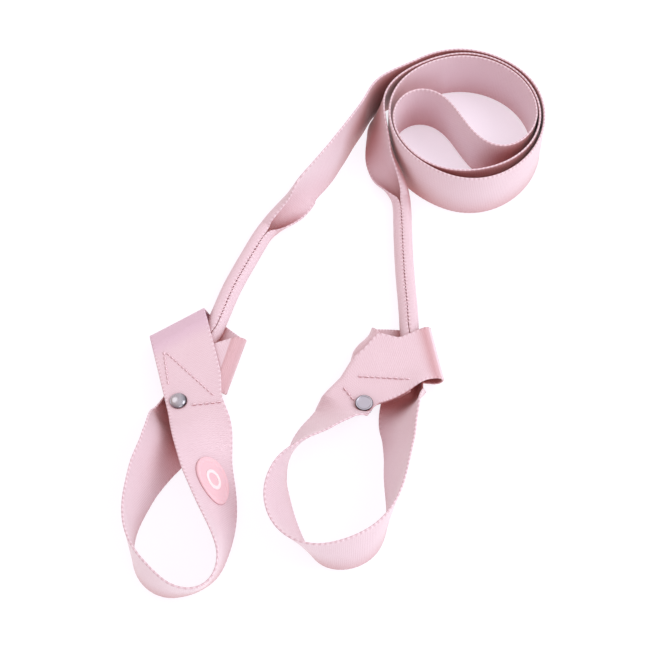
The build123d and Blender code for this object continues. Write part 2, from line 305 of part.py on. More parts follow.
LEFT_FOLD = [
    (-91.05, -74.86, 15, -0.98513, -0.17116, 0.01468, 0.01447, 0.00251, 0.99989, 19),
    (-91.59, -71.94, 15, -0.98156, -0.19113, 0.00112, 0.0011, 0.00021, 1, 19),
    (-92.19, -69.06, 15, -0.97625, -0.21666, 0.00086, 0.00084, 0.00019, 1, 19),
    (-92.91, -66.05, 15, -0.96782, -0.25163, 0, 0, 0, 1, 19),
    (-105.56, -17.38, 15, -0.82287, -0.56824, 0, -0.01316, 0.01905, 0.99973, 20.23),
    (-105.71, -16.8, 14.97, -0.82287, -0.56824, 0, -0.03944, 0.05711, 0.99759, 20.23),
    (-105.86, -16.23, 14.92, -0.82287, -0.56824, 0, -0.06564, 0.09505, 0.99331, 20.23),
    (-106.01, -15.66, 14.85, -0.82287, -0.56824, 0, -0.0917, 0.13279, 0.98689, 20.23),
    (-106.15, -15.1, 14.74, -0.82287, -0.56824, 0, -0.11756, 0.17024, 0.97837, 20.23),
    (-106.29, -14.54, 14.62, -0.82287, -0.56824, 0, -0.14317, 0.20732, 0.96774, 20.23),
    (-107.9, -8.01, 12.82, -0.84835, -0.52928, -0.01327, -0.20736, 0.30909, 0.92815, 19.9),
    (-108.02, -7.44, 12.54, -0.84835, -0.52928, -0.01327, -0.30316, 0.46505, 0.83176, 19.9),
    (-108.11, -6.93, 12.14, -0.84835, -0.52928, -0.01327, -0.38598, 0.60111, 0.69977, 19.9),
    (-108.14, -6.5, 11.66, -0.84835, -0.52928, -0.01327, -0.45229, 0.71145, 0.53784, 19.9),
    (-108.12, -6.15, 11.1, -0.84835, -0.52928, -0.01327, -0.49924, 0.79135, 0.35289, 19.9),
    (-108.03, -5.91, 10.51, -0.84835, -0.52928, -0.01327, -0.52482, 0.83738, 0.15284, 19.9),
    (-106.41, -4.52, 3.65, -0.84796, -0.53005, 0.00399, -0.52842, 0.8447, -0.08518, 20.01),
    (-106.09, -4.53, 2.83, -0.84796, -0.53005, 0.00399, -0.49808, 0.7942, -0.34808, 20.01),
    (-105.67, -4.71, 2.1, -0.84796, -0.53005, 0.00399, -0.4316, 0.68604, -0.58572, 20.01),
    (-105.15, -5.05, 1.52, -0.84796, -0.53005, 0.00399, -0.33378, 0.52809, -0.78084, 20.01),
    (-104.55, -5.5, 1.1, -0.84796, -0.53005, 0.00399, -0.21174, 0.33181, -0.91928, 20.01),
    (-103.91, -6.02, 0.88, -0.84796, -0.53005, 0.00399, -0.07432, 0.11144, -0.99099, 20.01),
    (-72.45, -32.15, 0.86, -0.27846, -0.96044, 0.00353, 0.07221, -0.0246, -0.99709, 20.73),
    (-72.23, -32.34, 0.9, -0.27846, -0.96044, 0.00353, 0.22073, -0.06757, -0.97299, 20.73),
    (-72.02, -32.52, 0.98, -0.27846, -0.96044, 0.00353, 0.36385, -0.10889, -0.92507, 20.73),
    (-71.82, -32.7, 1.11, -0.27846, -0.96044, 0.00353, 0.49805, -0.14754, -0.8545, 20.73),
    (-71.65, -32.87, 1.26, -0.27846, -0.96044, 0.00353, 0.62007, -0.18258, -0.76301, 20.73),
    (-71.5, -33.03, 1.45, -0.27846, -0.96044, 0.00353, 0.7269, -0.21315, -0.65283, 20.73),
    (-70.78, -33.96, 2.75, -0.27846, -0.96044, 0.00353, 0.86469, -0.25229, -0.43435, 20.73),
    (-70.44, -35.22, 5.37, -0.27846, -0.96044, 0.00353, 0.95714, -0.2778, -0.08186, 20.73),
    (-71, -36.21, 8.13, -0.27846, -0.96044, 0.00353, 0.92187, -0.26624, 0.28156, 20.73),
    (-72.43, -36.96, 10.51, -0.27846, -0.96044, 0.00353, 0.76357, -0.21915, 0.6074, 20.73),
    (-74.57, -37.5, 12.24, -0.27846, -0.96044, 0.00353, 0.50338, -0.14281, 0.85218, 20.73),
    (-77.19, -37.9, 13.16, -0.27846, -0.96044, 0.00353, 0.17601, -0.04742, 0.98325, 20.73),
    (-111.62, -52.98, 13.2, 0.25, -0.96825, 0, 0.00059, 0.0035, 0.99999, 19),
]

RIGHT_FOLD = [
    (-2.78, -67.85, 15.46, 0.86926, -0.48871, 0.07451, -0.03031, -0.20313, -0.97868, 19),
    (-0.89, -64.46, 15.02, 0.87649, -0.48141, 0.00021, -0.01729, -0.03191, -0.99934, 19),
    (1.03, -61.05, 15, 0.8583, -0.51314, 0, 0, 0, -1, 19),
    (3.2, -57.76, 15, 0.8072, -0.59027, 0, 0, 0, -1, 19),
    (5.75, -54.72, 15, 0.71285, -0.70132, 0, 0, 0, -1, 19),
    (8.75, -52.2, 15, 0.57497, -0.81818, 0, 0, 0, -1, 19),
    (12.22, -50.1, 15, 0.44708, -0.89449, 0, 0, 0, -1, 19),
    (19.4, -46.51, 15, 0.27944, -0.96016, 0, -0.00358, -0.00104, -0.99999, 19.31),
    (19.45, -46.48, 15, 0.27944, -0.96016, 0, -0.01073, -0.00312, -0.99994, 19.31),
    (19.5, -46.46, 15, 0.27944, -0.96016, 0, -0.01788, -0.0052, -0.99983, 19.31),
    (19.55, -46.44, 15, 0.27944, -0.96016, 0, -0.02503, -0.00728, -0.99966, 19.31),
    (19.59, -46.41, 15, 0.27944, -0.96016, 0, -0.03217, -0.00936, -0.99944, 19.31),
    (19.64, -46.39, 14.99, 0.27944, -0.96016, 0, -0.03932, -0.01144, -0.99916, 19.31),
    (51.56, -30.43, 13.42, 0.18407, -0.9829, 0.00438, -0.29194, -0.05893, -0.95462, 19.76),
    (54.06, -29.04, 11.72, 0.18407, -0.9829, 0.00438, -0.7169, -0.1373, -0.68353, 19.76),
    (55.38, -27.87, 8.86, 0.18407, -0.9829, 0.00438, -0.9553, -0.17995, -0.23456, 19.76),
    (55.15, -27, 5.43, 0.18407, -0.9829, 0.00438, -0.94511, -0.17577, 0.27544, 19.76),
    (53.38, -26.41, 2.53, 0.18407, -0.9829, 0.00438, -0.68898, -0.12585, 0.71377, 19.76),
    (50.48, -26.03, 0.94, 0.18407, -0.9829, 0.00438, -0.25356, -0.04318, 0.96635, 19.76),
    (7.95, -22.05, 0.8, -0.47878, -0.87793, 0.00201, 0.0621, -0.03158, 0.99757, 20.68),
    (7.68, -22.03, 0.84, -0.47878, -0.87793, 0.00201, 0.19083, -0.10184, 0.97633, 20.68),
    (7.42, -22.01, 0.91, -0.47878, -0.87793, 0.00201, 0.31538, -0.16986, 0.93364, 20.68),
    (7.16, -21.99, 1.02, -0.47878, -0.87793, 0.00201, 0.43299, -0.23414, 0.87046, 20.68),
    (6.93, -21.99, 1.16, -0.47878, -0.87793, 0.00201, 0.5411, -0.29329, 0.78815, 20.68),
    (6.71, -21.99, 1.33, -0.47878, -0.87793, 0.00201, 0.63733, -0.346, 0.68855, 20.68),
    (5.48, -22.11, 2.59, -0.47878, -0.87793, 0.00201, 0.77213, -0.41999, 0.4769, 20.68),
    (4.23, -22.72, 5.23, -0.47878, -0.87793, 0.00201, 0.87166, -0.47509, 0.12043, 20.68),
    (3.85, -23.79, 8.06, -0.47878, -0.87793, 0.00201, 0.84915, -0.46367, -0.25291, 20.68),
    (4.3, -25.32, 10.53, -0.47878, -0.87793, 0.00201, 0.70775, -0.38732, -0.59083, 20.68),
    (5.45, -27.24, 12.33, -0.47878, -0.87793, 0.00201, 0.46725, -0.25675, -0.84602, 20.68),
    (7.07, -29.4, 13.3, -0.47878, -0.87793, 0.00201, 0.16133, -0.09023, -0.98277, 20.68),
    (21.43, -67.83, 13.25, -0.93683, -0.3498, 0, -0.00297, -0.00066, -1, 19),
]

# Plan of the coil: x, y along the middle of the webbing's thickness, from the
# left exit to the right exit.
COIL_PATH = [
    (46.53, 187.98), (49.99, 190.07), (52.69, 191.54), (56.38, 193.31), (59.21, 194.48), (63.04, 195.79),
    (66.94, 196.81), (69.89, 197.36), (73.84, 197.84), (77.81, 197.98), (80.79, 197.87), (84.75, 197.43),
    (87.69, 196.9), (91.56, 195.93), (95.36, 194.67), (98.15, 193.55), (101.79, 191.83), (104.43, 190.39),
    (107.85, 188.28), (111.11, 185.94), (113.45, 184.05), (116.41, 181.35), (119.16, 178.45), (121.07, 176.14),
    (123.4, 172.9), (124.96, 170.36), (126.81, 166.82), (128.36, 163.15), (129.33, 160.31), (130.37, 156.45),
    (131.11, 152.51), (131.48, 149.53), (131.72, 145.53), (131.72, 142.52), (131.47, 138.52), (130.96, 134.55),
    (130.4, 131.6), (129.43, 127.72), (128.53, 124.86), (127.11, 121.13), (125.44, 117.49), (124.04, 114.85),
    (121.96, 111.43), (119.66, 108.15), (117.79, 105.8), (115.11, 102.82), (112.97, 100.71), (109.94, 98.08),
    (106.72, 95.68), (104.19, 94.06), (100.67, 92.14), (97.94, 90.9), (94.17, 89.54), (90.31, 88.53),
    (87.36, 88.03), (83.39, 87.69), (79.42, 87.75), (76.45, 88.05), (72.54, 88.78), (69.66, 89.57),
    (65.9, 90.91), (62.24, 92.55), (59.58, 93.95), (56.13, 96.02), (52.81, 98.3), (50.4, 100.13),
    (47.33, 102.71), (45.12, 104.76), (42.35, 107.64), (39.77, 110.69), (37.99, 113.09), (35.82, 116.43),
    (34.37, 119.04), (32.67, 122.65), (31.25, 126.39), (30.38, 129.26), (29.47, 133.16), (28.85, 137.13),
    (28.59, 140.13), (28.51, 144.15), (28.67, 147.15), (29.17, 151.12), (30, 155.02), (30.86, 157.89),
    (32.29, 161.61), (33.58, 164.31), (35.58, 167.77), (37.87, 171.04), (39.76, 173.36), (42.51, 176.26),
    (45.48, 178.94), (47.84, 180.8), (51.14, 183.07), (53.72, 184.62), (57.28, 186.47), (60.96, 188.08),
    (63.79, 189.11), (67.64, 190.25), (71.55, 191.11), (74.51, 191.54), (78.49, 191.83), (81.48, 191.83),
    (85.45, 191.51), (89.38, 190.83), (92.28, 190.1), (96.07, 188.82), (98.84, 187.65), (102.41, 185.82),
    (105.82, 183.71), (108.25, 181.94), (111.31, 179.37), (114.14, 176.55), (116.1, 174.29), (118.48, 171.09),
    (120.09, 168.57), (122, 165.05), (123.61, 161.38), (124.62, 158.55), (125.68, 154.67), (126.25, 151.7),
    (126.68, 147.68), (126.69, 143.62), (126.4, 140.57), (125.61, 136.54), (124.34, 132.61), (123.08, 129.77),
    (120.99, 126.21), (119.15, 123.75), (116.34, 120.84), (113.21, 118.44), (110.69, 117.03), (107.17, 115.74),
    (104.47, 115.24), (100.85, 115.24), (97.31, 115.97), (94.74, 116.98), (91.51, 118.89), (88.52, 121.35),
    (86.44, 123.49), (83.89, 126.66), (82.12, 129.21), (79.92, 132.78), (77.85, 136.46), (76.35, 139.27),
    (74.35, 143.01), (72.27, 146.68), (70.62, 149.35), (68.23, 152.71), (66.28, 155.04), (63.43, 157.78),
    (60.3, 160.01), (57.79, 161.28), (54.27, 162.36), (51.55, 162.67), (47.93, 162.4), (44.4, 161.33),
    (41.91, 160.03), (38.87, 157.68), (36.26, 154.74), (34.62, 152.21), (32.91, 148.51), (32, 145.57),
    (31.3, 141.51), (31.15, 137.41), (31.37, 134.34), (32.09, 130.33), (32.9, 127.39), (34.3, 123.59),
    (36.02, 119.95), (37.51, 117.32), (39.71, 113.96), (42.17, 110.78), (44.16, 108.54), (47.02, 105.75),
    (49.31, 103.83), (52.55, 101.53), (55.99, 99.54), (58.68, 98.27), (62.41, 96.88), (66.26, 95.85),
    (69.2, 95.3), (73.18, 94.87), (76.19, 94.76), (80.2, 94.88), (84.2, 95.29), (87.17, 95.79),
    (91.08, 96.69), (93.96, 97.54), (97.73, 98.9), (101.39, 100.53), (104.05, 101.92), (107.47, 104),
    (110.71, 106.34), (113.01, 108.26), (115.88, 111.03), (117.88, 113.26), (120.31, 116.43), (122.47, 119.8),
    (123.9, 122.44), (125.53, 126.09), (126.55, 128.91), (127.62, 132.76), (128.37, 136.69), (128.71, 139.67),
    (128.88, 143.67), (128.72, 147.67), (128.4, 150.66), (127.7, 154.6), (126.97, 157.52), (125.75, 161.33),
    (124.24, 165.04), (122.92, 167.73), (120.93, 171.19), (118.66, 174.48), (116.8, 176.83), (114.09, 179.77),
    (111.92, 181.83), (108.83, 184.38), (105.54, 186.69), (102.96, 188.25), (99.39, 190.09), (96.62, 191.28),
    (92.84, 192.59), (88.96, 193.57), (86.02, 194.07), (82.05, 194.42), (78.08, 194.41), (75.11, 194.16),
    (71.19, 193.52), (68.28, 192.84), (64.45, 191.68),
]

# ---- stitches ----
# Neck seam threads: middle (3), direction along the thread (3), direction across it (3).
LEFT_SEAM = [
    (-55.47, 60.89, 9.54, -0.4201, -0.9075, 0, 0.4391, -0.2032, 0.8752),
    (-57.28, 57.4, 9.66, -0.4002, -0.9164, 0, 0.4132, -0.1804, 0.8926),
    (-59.46, 52.91, 9.76, -0.3979, -0.9174, 0, 0.3909, -0.1695, 0.9047),
    (-61.18, 49.28, 9.82, -0.4032, -0.9151, 0, 0.3716, -0.1637, 0.9139),
    (-63.34, 44.75, 9.88, -0.4075, -0.9132, 0, 0.3561, -0.1589, 0.9208),
    (-65.05, 41.13, 9.91, -0.4086, -0.9127, 0, 0.3449, -0.1544, 0.9259),
    (-66.73, 37.51, 9.93, -0.4068, -0.9135, 0, 0.3375, -0.1503, 0.9292),
    (-68.79, 32.96, 9.95, -0.4036, -0.9149, 0, 0.3333, -0.147, 0.9313),
    (-70.41, 29.32, 9.96, -0.3994, -0.9168, 0, 0.3309, -0.1442, 0.9326),
    (-72.35, 24.8, 9.96, -0.3781, -0.9258, 0, 0.332, -0.1356, 0.9335),
    (-73.77, 21.19, 9.97, -0.3499, -0.9368, 0, 0.334, -0.1248, 0.9343),
    (-75.1, 17.55, 9.98, -0.3282, -0.9446, 0, 0.3349, -0.1164, 0.9351),
    (-76.67, 12.96, 9.98, -0.3133, -0.9497, 0, 0.3348, -0.1104, 0.9358),
    (-77.89, 9.25, 9.99, -0.3055, -0.9522, 0, 0.3339, -0.1072, 0.9365),
    (-79.4, 4.57, 9.99, -0.3054, -0.9522, 0, 0.3324, -0.1066, 0.9371),
]

RIGHT_SEAM = [
    (35.76, 83.85, 10.23, -0.0251, -0.9997, 0, 0.2451, -0.0062, -0.9695),
    (35.92, 79.86, 10.3, -0.0342, -0.9994, 0, 0.2015, -0.0069, -0.9795),
    (36.01, 74.85, 10.34, -0.0288, -0.9996, 0, 0.1713, -0.0049, -0.9852),
    (36.05, 70.84, 10.37, -0.0171, -0.9999, 0, 0.1509, -0.0026, -0.9886),
    (36.09, 66.82, 10.38, -0.0063, -1, 0, 0.1379, -0.0009, -0.9904),
    (36.15, 61.81, 10.39, 0.0022, -1, 0, 0.1304, 0.0003, -0.9915),
    (36.19, 57.8, 10.39, 0.0091, -1, 0, 0.1272, 0.0012, -0.9919),
    (36.25, 52.79, 10.39, 0.0156, -0.9999, 0, 0.1272, 0.002, -0.9919),
    (36.31, 48.78, 10.39, 0.0221, -0.9998, 0, 0.1296, 0.0029, -0.9916),
    (36.39, 44.77, 10.38, 0.0284, -0.9996, 0, 0.1339, 0.0038, -0.991),
    (36.5, 39.76, 10.38, 0.0347, -0.9994, 0, 0.1393, 0.0048, -0.9902),
    (36.61, 35.76, 10.37, 0.0407, -0.9992, 0, 0.1452, 0.0059, -0.9894),
    (36.78, 30.75, 10.37, 0.0462, -0.9989, 0, 0.1508, 0.007, -0.9885),
    (36.95, 26.74, 10.36, 0.0506, -0.9987, 0, 0.1552, 0.0079, -0.9878),
    (37.14, 22.74, 10.36, 0.0535, -0.9986, 0, 0.1576, 0.0085, -0.9875),
    (37.4, 17.75, 10.36, 0.0537, -0.9986, 0, 0.1579, 0.0085, -0.9874),
    (37.62, 13.75, 10.36, 0.0502, -0.9987, 0, 0.1565, 0.0079, -0.9876),
    (37.87, 8.76, 10.36, 0.043, -0.9991, 0, 0.1547, 0.0067, -0.9879),
    (38.04, 4.77, 10.36, 0.0336, -0.9994, 0, 0.1529, 0.0051, -0.9882),
    (38.17, 0.78, 10.37, 0.0235, -0.9997, 0, 0.1508, 0.0036, -0.9886),
]

# Rows of keeper stitches: start, end, number of stitches.
LEFT_ROWS = [
    ((-115.20, -29.93, 15.78), (-111.08, -54.42, 15.78), 5),
    ((-113.46, -31.02, 15.78), (-82.77, -61.87, 15.78), 9),
    ((-96.62, -68.56, 16.22), (-77.71, -66.31, 16.20), 4),
]
RIGHT_ROWS = [
    ((5.47, -48.21, 16.20), (38.21, -50.00, 15.78), 6),
    ((-3.29, -55.92, 16.22), (3.22, -65.32, 16.10), 2),
]

# ---- oval rubber badge on the left noose ----
BADGE_THICK = 1.4
BADGE_GAP = 0.06          # glue line under the badge
BADGE_SHIFT = -1.5        # offset of the badge's middle across the webbing
RING_OUTER = 4.6          # radii of the plain raised ring on the badge
RING_INNER = 3.2
RING_HEIGHT = 0.6
RING_LIFT = 0.2           # gap between the badge and the ring

# Cross-sections: centre of the webbing (3), width direction (3), travel
# direction (3), half width of the badge.
BADGE = [
    (-79.16, -137.2, 19.03, -0.62524, -0.07469, 0.77685, -0.19621, 0.97848, -0.06384, 2),
    (-79.64, -134.87, 18.87, -0.6486, -0.08135, 0.75677, -0.20685, 0.97569, -0.0724, 6.22),
    (-80.15, -132.54, 18.68, -0.66986, -0.08785, 0.73728, -0.21702, 0.97278, -0.08126, 8.24),
    (-80.68, -130.21, 18.48, -0.68919, -0.09419, 0.71843, -0.22656, 0.96981, -0.09018, 9.59),
    (-81.23, -127.9, 18.25, -0.70692, -0.10043, 0.70013, -0.23515, 0.96693, -0.09872, 10.52),
    (-81.8, -125.59, 18.01, -0.72322, -0.10661, 0.68234, -0.24235, 0.96436, -0.10621, 11.13),
    (-82.39, -123.28, 17.74, -0.73834, -0.11268, 0.66495, -0.24776, 0.96232, -0.11204, 11.48),
    (-82.99, -120.98, 17.47, -0.75247, -0.11849, 0.64789, -0.25111, 0.961, -0.11589, 11.6),
    (-83.59, -118.69, 17.19, -0.76561, -0.12356, 0.63133, -0.25178, 0.96065, -0.11731, 11.48),
    (-84.19, -116.39, 16.91, -0.77775, -0.12707, 0.61559, -0.24895, 0.96154, -0.11606, 11.13),
    (-84.78, -114.08, 16.64, -0.7889, -0.1278, 0.60108, -0.24118, 0.96405, -0.11157, 10.52),
    (-85.34, -111.77, 16.38, -0.79947, -0.12523, 0.5875, -0.22795, 0.96812, -0.10384, 9.59),
    (-85.87, -109.45, 16.14, -0.81029, -0.12037, 0.57353, -0.21095, 0.97298, -0.09382, 8.24),
    (-86.35, -107.12, 15.93, -0.82243, -0.11495, 0.55713, -0.19277, 0.97774, -0.08284, 6.22),
    (-86.79, -104.78, 15.75, -0.83644, -0.11035, 0.53684, -0.17571, 0.98181, -0.07196, 2),
]

# Frame of the ring: middle of the webbing under it, travel and outward directions.
RING_CENTRE = (-81.86, -120.81, 16.5)
RING_AXIS = BADGE[len(BADGE) // 2][6:9]
RING_OUT = (0.60888, 0.2499, 0.75287)


# ---- sections ----

def split_row(row):
    """The three leading triples of a table row, then what is left of it."""
    return row[0:3], row[3:6], row[6:9], row[9:]


def curled_outline(curl, wide, tall):
    """Closed outline of a curled strip section, in the section's own plane."""
    curl = curl if abs(curl) > MIN_CURL else MIN_CURL
    bend = curl / WEB_WIDTH
    one_face, other_face = [], []
    for i in range(EDGE_POINTS):
        across = -WEB_WIDTH / 2 + WEB_WIDTH * i / (EDGE_POINTS - 1)
        side = math.sin(bend * across) / bend * wide
        rise = (1 - math.cos(bend * across)) / bend * tall
        tangent_side = math.cos(bend * across) * wide
        tangent_rise = math.sin(bend * across) * tall
        length = math.hypot(tangent_side, tangent_rise)
        off_side = -tangent_rise / length * WEB_THICK / 2
        off_rise = tangent_side / length * WEB_THICK / 2
        # the plane's y axis is opposite to the rise of the curl
        one_face.append((side + off_side, -(rise + off_rise)))
        other_face.append((side - off_side, -(rise - off_rise)))
    return one_face + other_face[::-1]


def curled_sections(rows):
    faces = []
    for row in rows:
        centre, width_dir, travel, curl = split_row(row)
        with BuildSketch(Plane(origin=centre, x_dir=width_dir, z_dir=travel)) as section:
            with BuildLine():
                Polyline(*curled_outline(*curl), close=True)
            make_face()
        faces.append(section.sketch.face())
    return faces


def fold_sections(rows):
    faces = []
    for row in rows:
        centre, along, normal, (half_length,) = split_row(row)
        travel = Vector(*along).cross(Vector(*normal))
        with BuildSketch(Plane(origin=centre, x_dir=along, z_dir=travel)) as section:
            Rectangle(2 * half_length, WEB_THICK)
        faces.append(section.sketch.face())
    return faces


def stitch_row(start, end, count):
    """Level faces of a row of stitches, evenly spaced from start to end."""
    start, end = Vector(*start), Vector(*end)
    run = (end - start).normalized()
    faces = []
    for i in range(count):
        middle = start + (end - start) * ((i + 0.5) / count)
        with BuildSketch(Plane(origin=middle, x_dir=run, z_dir=(0, 0, 1))) as stitch:
            SlotOverall(STITCH_LENGTH, STITCH_WIDTH)
        faces.append(stitch.sketch.face())
    return faces


def seam_threads(rows):
    """End faces of short threads seated between the selvedges of the rolled neck."""
    faces = []
    for row in rows:
        middle, along, across, _ = split_row(row)
        start = Vector(*middle) - Vector(*along) * (STITCH_LENGTH / 2)
        with BuildSketch(Plane(origin=start, x_dir=across, z_dir=along)) as thread:
            RegularPolygon(SEAM_THREAD / 2, 8)
        faces.append(thread.sketch.face())
    return faces


# ---- webbing pieces ----

def coil_corner(i):
    """Left and right corner of the coil wall at path point i."""
    if i == 0:
        flow = (-LEFT_EXIT[0][6], -LEFT_EXIT[0][7])
    elif i == len(COIL_PATH) - 1:
        flow = RIGHT_EXIT[0][6:8]
    else:
        before, after = COIL_PATH[i - 1], COIL_PATH[i + 1]
        flow = (after[0] - before[0], after[1] - before[1])
    size = math.hypot(*flow)
    off_x = -flow[1] / size * WEB_THICK / 2
    off_y = flow[0] / size * WEB_THICK / 2
    x, y = COIL_PATH[i]
    return (x + off_x, y + off_y), (x - off_x, y - off_y)


def make_coil():
    """The strap folded at its middle, its two layers wound together."""
    corners = [coil_corner(i) for i in range(len(COIL_PATH))]
    left_side = [left for left, right in corners]
    right_side = [right for left, right in corners]
    with BuildPart() as coil:
        with BuildSketch(Plane.XY):
            with BuildLine():
                Polyline(*(left_side + right_side[::-1]), close=True)
            make_face()
        extrude(amount=WEB_WIDTH)
    return coil.part


def make_strap(rows):
    with BuildPart() as strap:
        loft(curled_sections(rows), ruled=True)
    return strap.part


def make_keeper(rows, rivet, hole_top, hole_depth):
    """The strap's end folded around the neck, with its rivet hole."""
    with BuildPart() as keeper:
        loft(fold_sections(rows), ruled=True)
        with Locations((*rivet, hole_top)):
            Hole(radius=RIVET_HOLE / 2, depth=hole_depth)
    return keeper.part


def make_seam_stitching(rows):
    with BuildPart() as stitching:
        for face in seam_threads(rows):
            extrude(face, amount=STITCH_LENGTH)
    return stitching.part


def make_keeper_stitching(rows):
    with BuildPart() as stitching:
        for start, end, count in rows:
            for face in stitch_row(start, end, count):
                extrude(face, amount=STITCH_HEIGHT)
    return stitching.part


# ---- rivets ----

def level_plane(place, z):
    return Plane(origin=(*place, z))


def level_circles(piece):
    """Circular edges of a rivet piece, lowest first."""
    return piece.edges().filter_by(GeomType.CIRCLE).sort_by(Axis.Z)


def make_left_cap():
    with BuildPart() as cap:
        with BuildSketch(level_plane(LEFT_RIVET, LEFT_CAP_SEAT)):
            Circle(LEFT_CAP_DIA / 2)
        extrude(amount=LEFT_CAP_HEIGHT)
        fillet(level_circles(cap)[-1], LEFT_CAP_FILLET)
        with BuildSketch(level_plane(LEFT_RIVET, LEFT_CAP_SEAT)):
            Circle(SHANK_DIA / 2 + SOCKET_CLEARANCE)
        extrude(amount=LEFT_SOCKET_DEPTH, mode=Mode.SUBTRACT)
    return cap.part


def make_left_base():
    """Flange with the shank that rises into the left cap."""
    with BuildPart() as base:
        with BuildSketch(level_plane(LEFT_RIVET, BASE_TOP - FLANGE_THICK)):
            Circle(FLANGE_DIA / 2)
        extrude(amount=FLANGE_THICK)
        with BuildSketch(level_plane(LEFT_RIVET, BASE_TOP - SHANK_OVERLAP)):
            Circle(SHANK_DIA / 2)
        extrude(amount=LEFT_CAP_SEAT + LEFT_SHANK_REACH - BASE_TOP + SHANK_OVERLAP)
        chamfer(level_circles(base)[-1], SHANK_CHAMFER)
    return base.part


def make_right_cap():
    """Recessed disc with the shank that drops into the right base."""
    with BuildPart() as cap:
        with BuildSketch(level_plane(RIGHT_RIVET, RIGHT_CAP_SEAT)):
            Circle(RIGHT_DISC_DIA / 2)
        extrude(amount=RIGHT_DISC_HEIGHT)
        fillet(level_circles(cap)[-1], RIGHT_DISC_FILLET)
        recess_floor = RIGHT_CAP_SEAT + RIGHT_DISC_HEIGHT - RIGHT_RECESS_DEPTH
        with BuildSketch(level_plane(RIGHT_RIVET, recess_floor)):
            Circle(RIGHT_DISC_DIA / 2 - RIGHT_RIM_WIDTH)
        extrude(amount=RECESS_CUT, mode=Mode.SUBTRACT)
        with BuildSketch(level_plane(RIGHT_RIVET, BASE_TOP - RIGHT_SHANK_REACH)):
            Circle(SHANK_DIA / 2)
        extrude(amount=RIGHT_CAP_SEAT - BASE_TOP + RIGHT_SHANK_REACH + SHANK_OVERLAP)
    return cap.part


def make_right_base():
    with BuildPart() as base:
        with BuildSketch(level_plane(RIGHT_RIVET, BASE_TOP - UNDER_CAP_HEIGHT)):
            Circle(UNDER_CAP_DIA / 2)
        extrude(amount=UNDER_CAP_HEIGHT)
        fillet(level_circles(base)[0], UNDER_CAP_FILLET)
        with BuildSketch(level_plane(RIGHT_RIVET, BASE_TOP)):
            Circle(SHANK_DIA / 2 + SOCKET_CLEARANCE)
        extrude(amount=-RIGHT_SOCKET_DEPTH, mode=Mode.SUBTRACT)
    return base.part


# ---- badge ----

def make_badge():
    lift = WEB_THICK / 2 + BADGE_GAP + BADGE_THICK / 2
    with BuildPart() as badge:
        for row in BADGE:
            centre, across, flow = Vector(*row[0:3]), Vector(*row[3:6]), Vector(*row[6:9])
            middle = centre + across * BADGE_SHIFT + flow.cross(across) * lift
            with BuildSketch(Plane(origin=middle, x_dir=across, z_dir=flow)):
                Rectangle(2 * row[9], BADGE_THICK)
        loft(ruled=True)
    return badge.part


def make_badge_ring():
    lift = WEB_THICK / 2 + BADGE_GAP + BADGE_THICK + RING_LIFT
    seat = Vector(*RING_CENTRE) + Vector(*RING_OUT) * lift
    with BuildPart() as ring:
        with BuildSketch(Plane(origin=seat, x_dir=RING_AXIS, z_dir=RING_OUT)):
            Circle(RING_OUTER)
            Circle(RING_INNER, mode=Mode.SUBTRACT)
        extrude(amount=RING_HEIGHT)
    return ring.part


# ---- build and export ----
# From the coil each strap end runs through exit, lead, rolled neck, noose return
# (opening out of the neck) and noose front, to the keeper.
pieces = {
    "coil_strap": make_coil(),
    "left_exit_strap": make_strap(LEFT_EXIT),
    "right_exit_strap": make_strap(RIGHT_EXIT),
    "left_lead_strap": make_strap(LEFT_LEAD),
    "right_lead_strap": make_strap(RIGHT_LEAD),
    "left_neck_tube": make_strap(LEFT_NECK),
    "right_neck_tube": make_strap(RIGHT_NECK),
    "left_neck_seam_stitching": make_seam_stitching(LEFT_SEAM),
    "right_neck_seam_stitching": make_seam_stitching(RIGHT_SEAM),
    "left_noose_return": make_strap(LEFT_RETURN),
    "right_noose_return": make_strap(RIGHT_RETURN),
    "left_noose_front": make_strap(LEFT_FRONT),
    "right_noose_front": make_strap(RIGHT_FRONT),
    "left_keeper_fold": make_keeper(LEFT_FOLD, LEFT_RIVET, LEFT_HOLE_TOP, LEFT_HOLE_DEPTH),
    "right_keeper_fold": make_keeper(RIGHT_FOLD, RIGHT_RIVET, RIGHT_HOLE_TOP, RIGHT_HOLE_DEPTH),
    "left_keeper_stitching": make_keeper_stitching(LEFT_ROWS),
    "right_keeper_stitching": make_keeper_stitching(RIGHT_ROWS),
    "left_rivet_cap": make_left_cap(),
    "left_rivet_base": make_left_base(),
    "right_rivet_cap": make_right_cap(),
    "right_rivet_base": make_right_base(),
    "rubber_badge": make_badge(),
    "badge_ring": make_badge_ring(),
}

os.makedirs("parts", exist_ok=True)
for name, part in pieces.items():
    part.label = name
    export_step(part, f"parts/{name}.step")
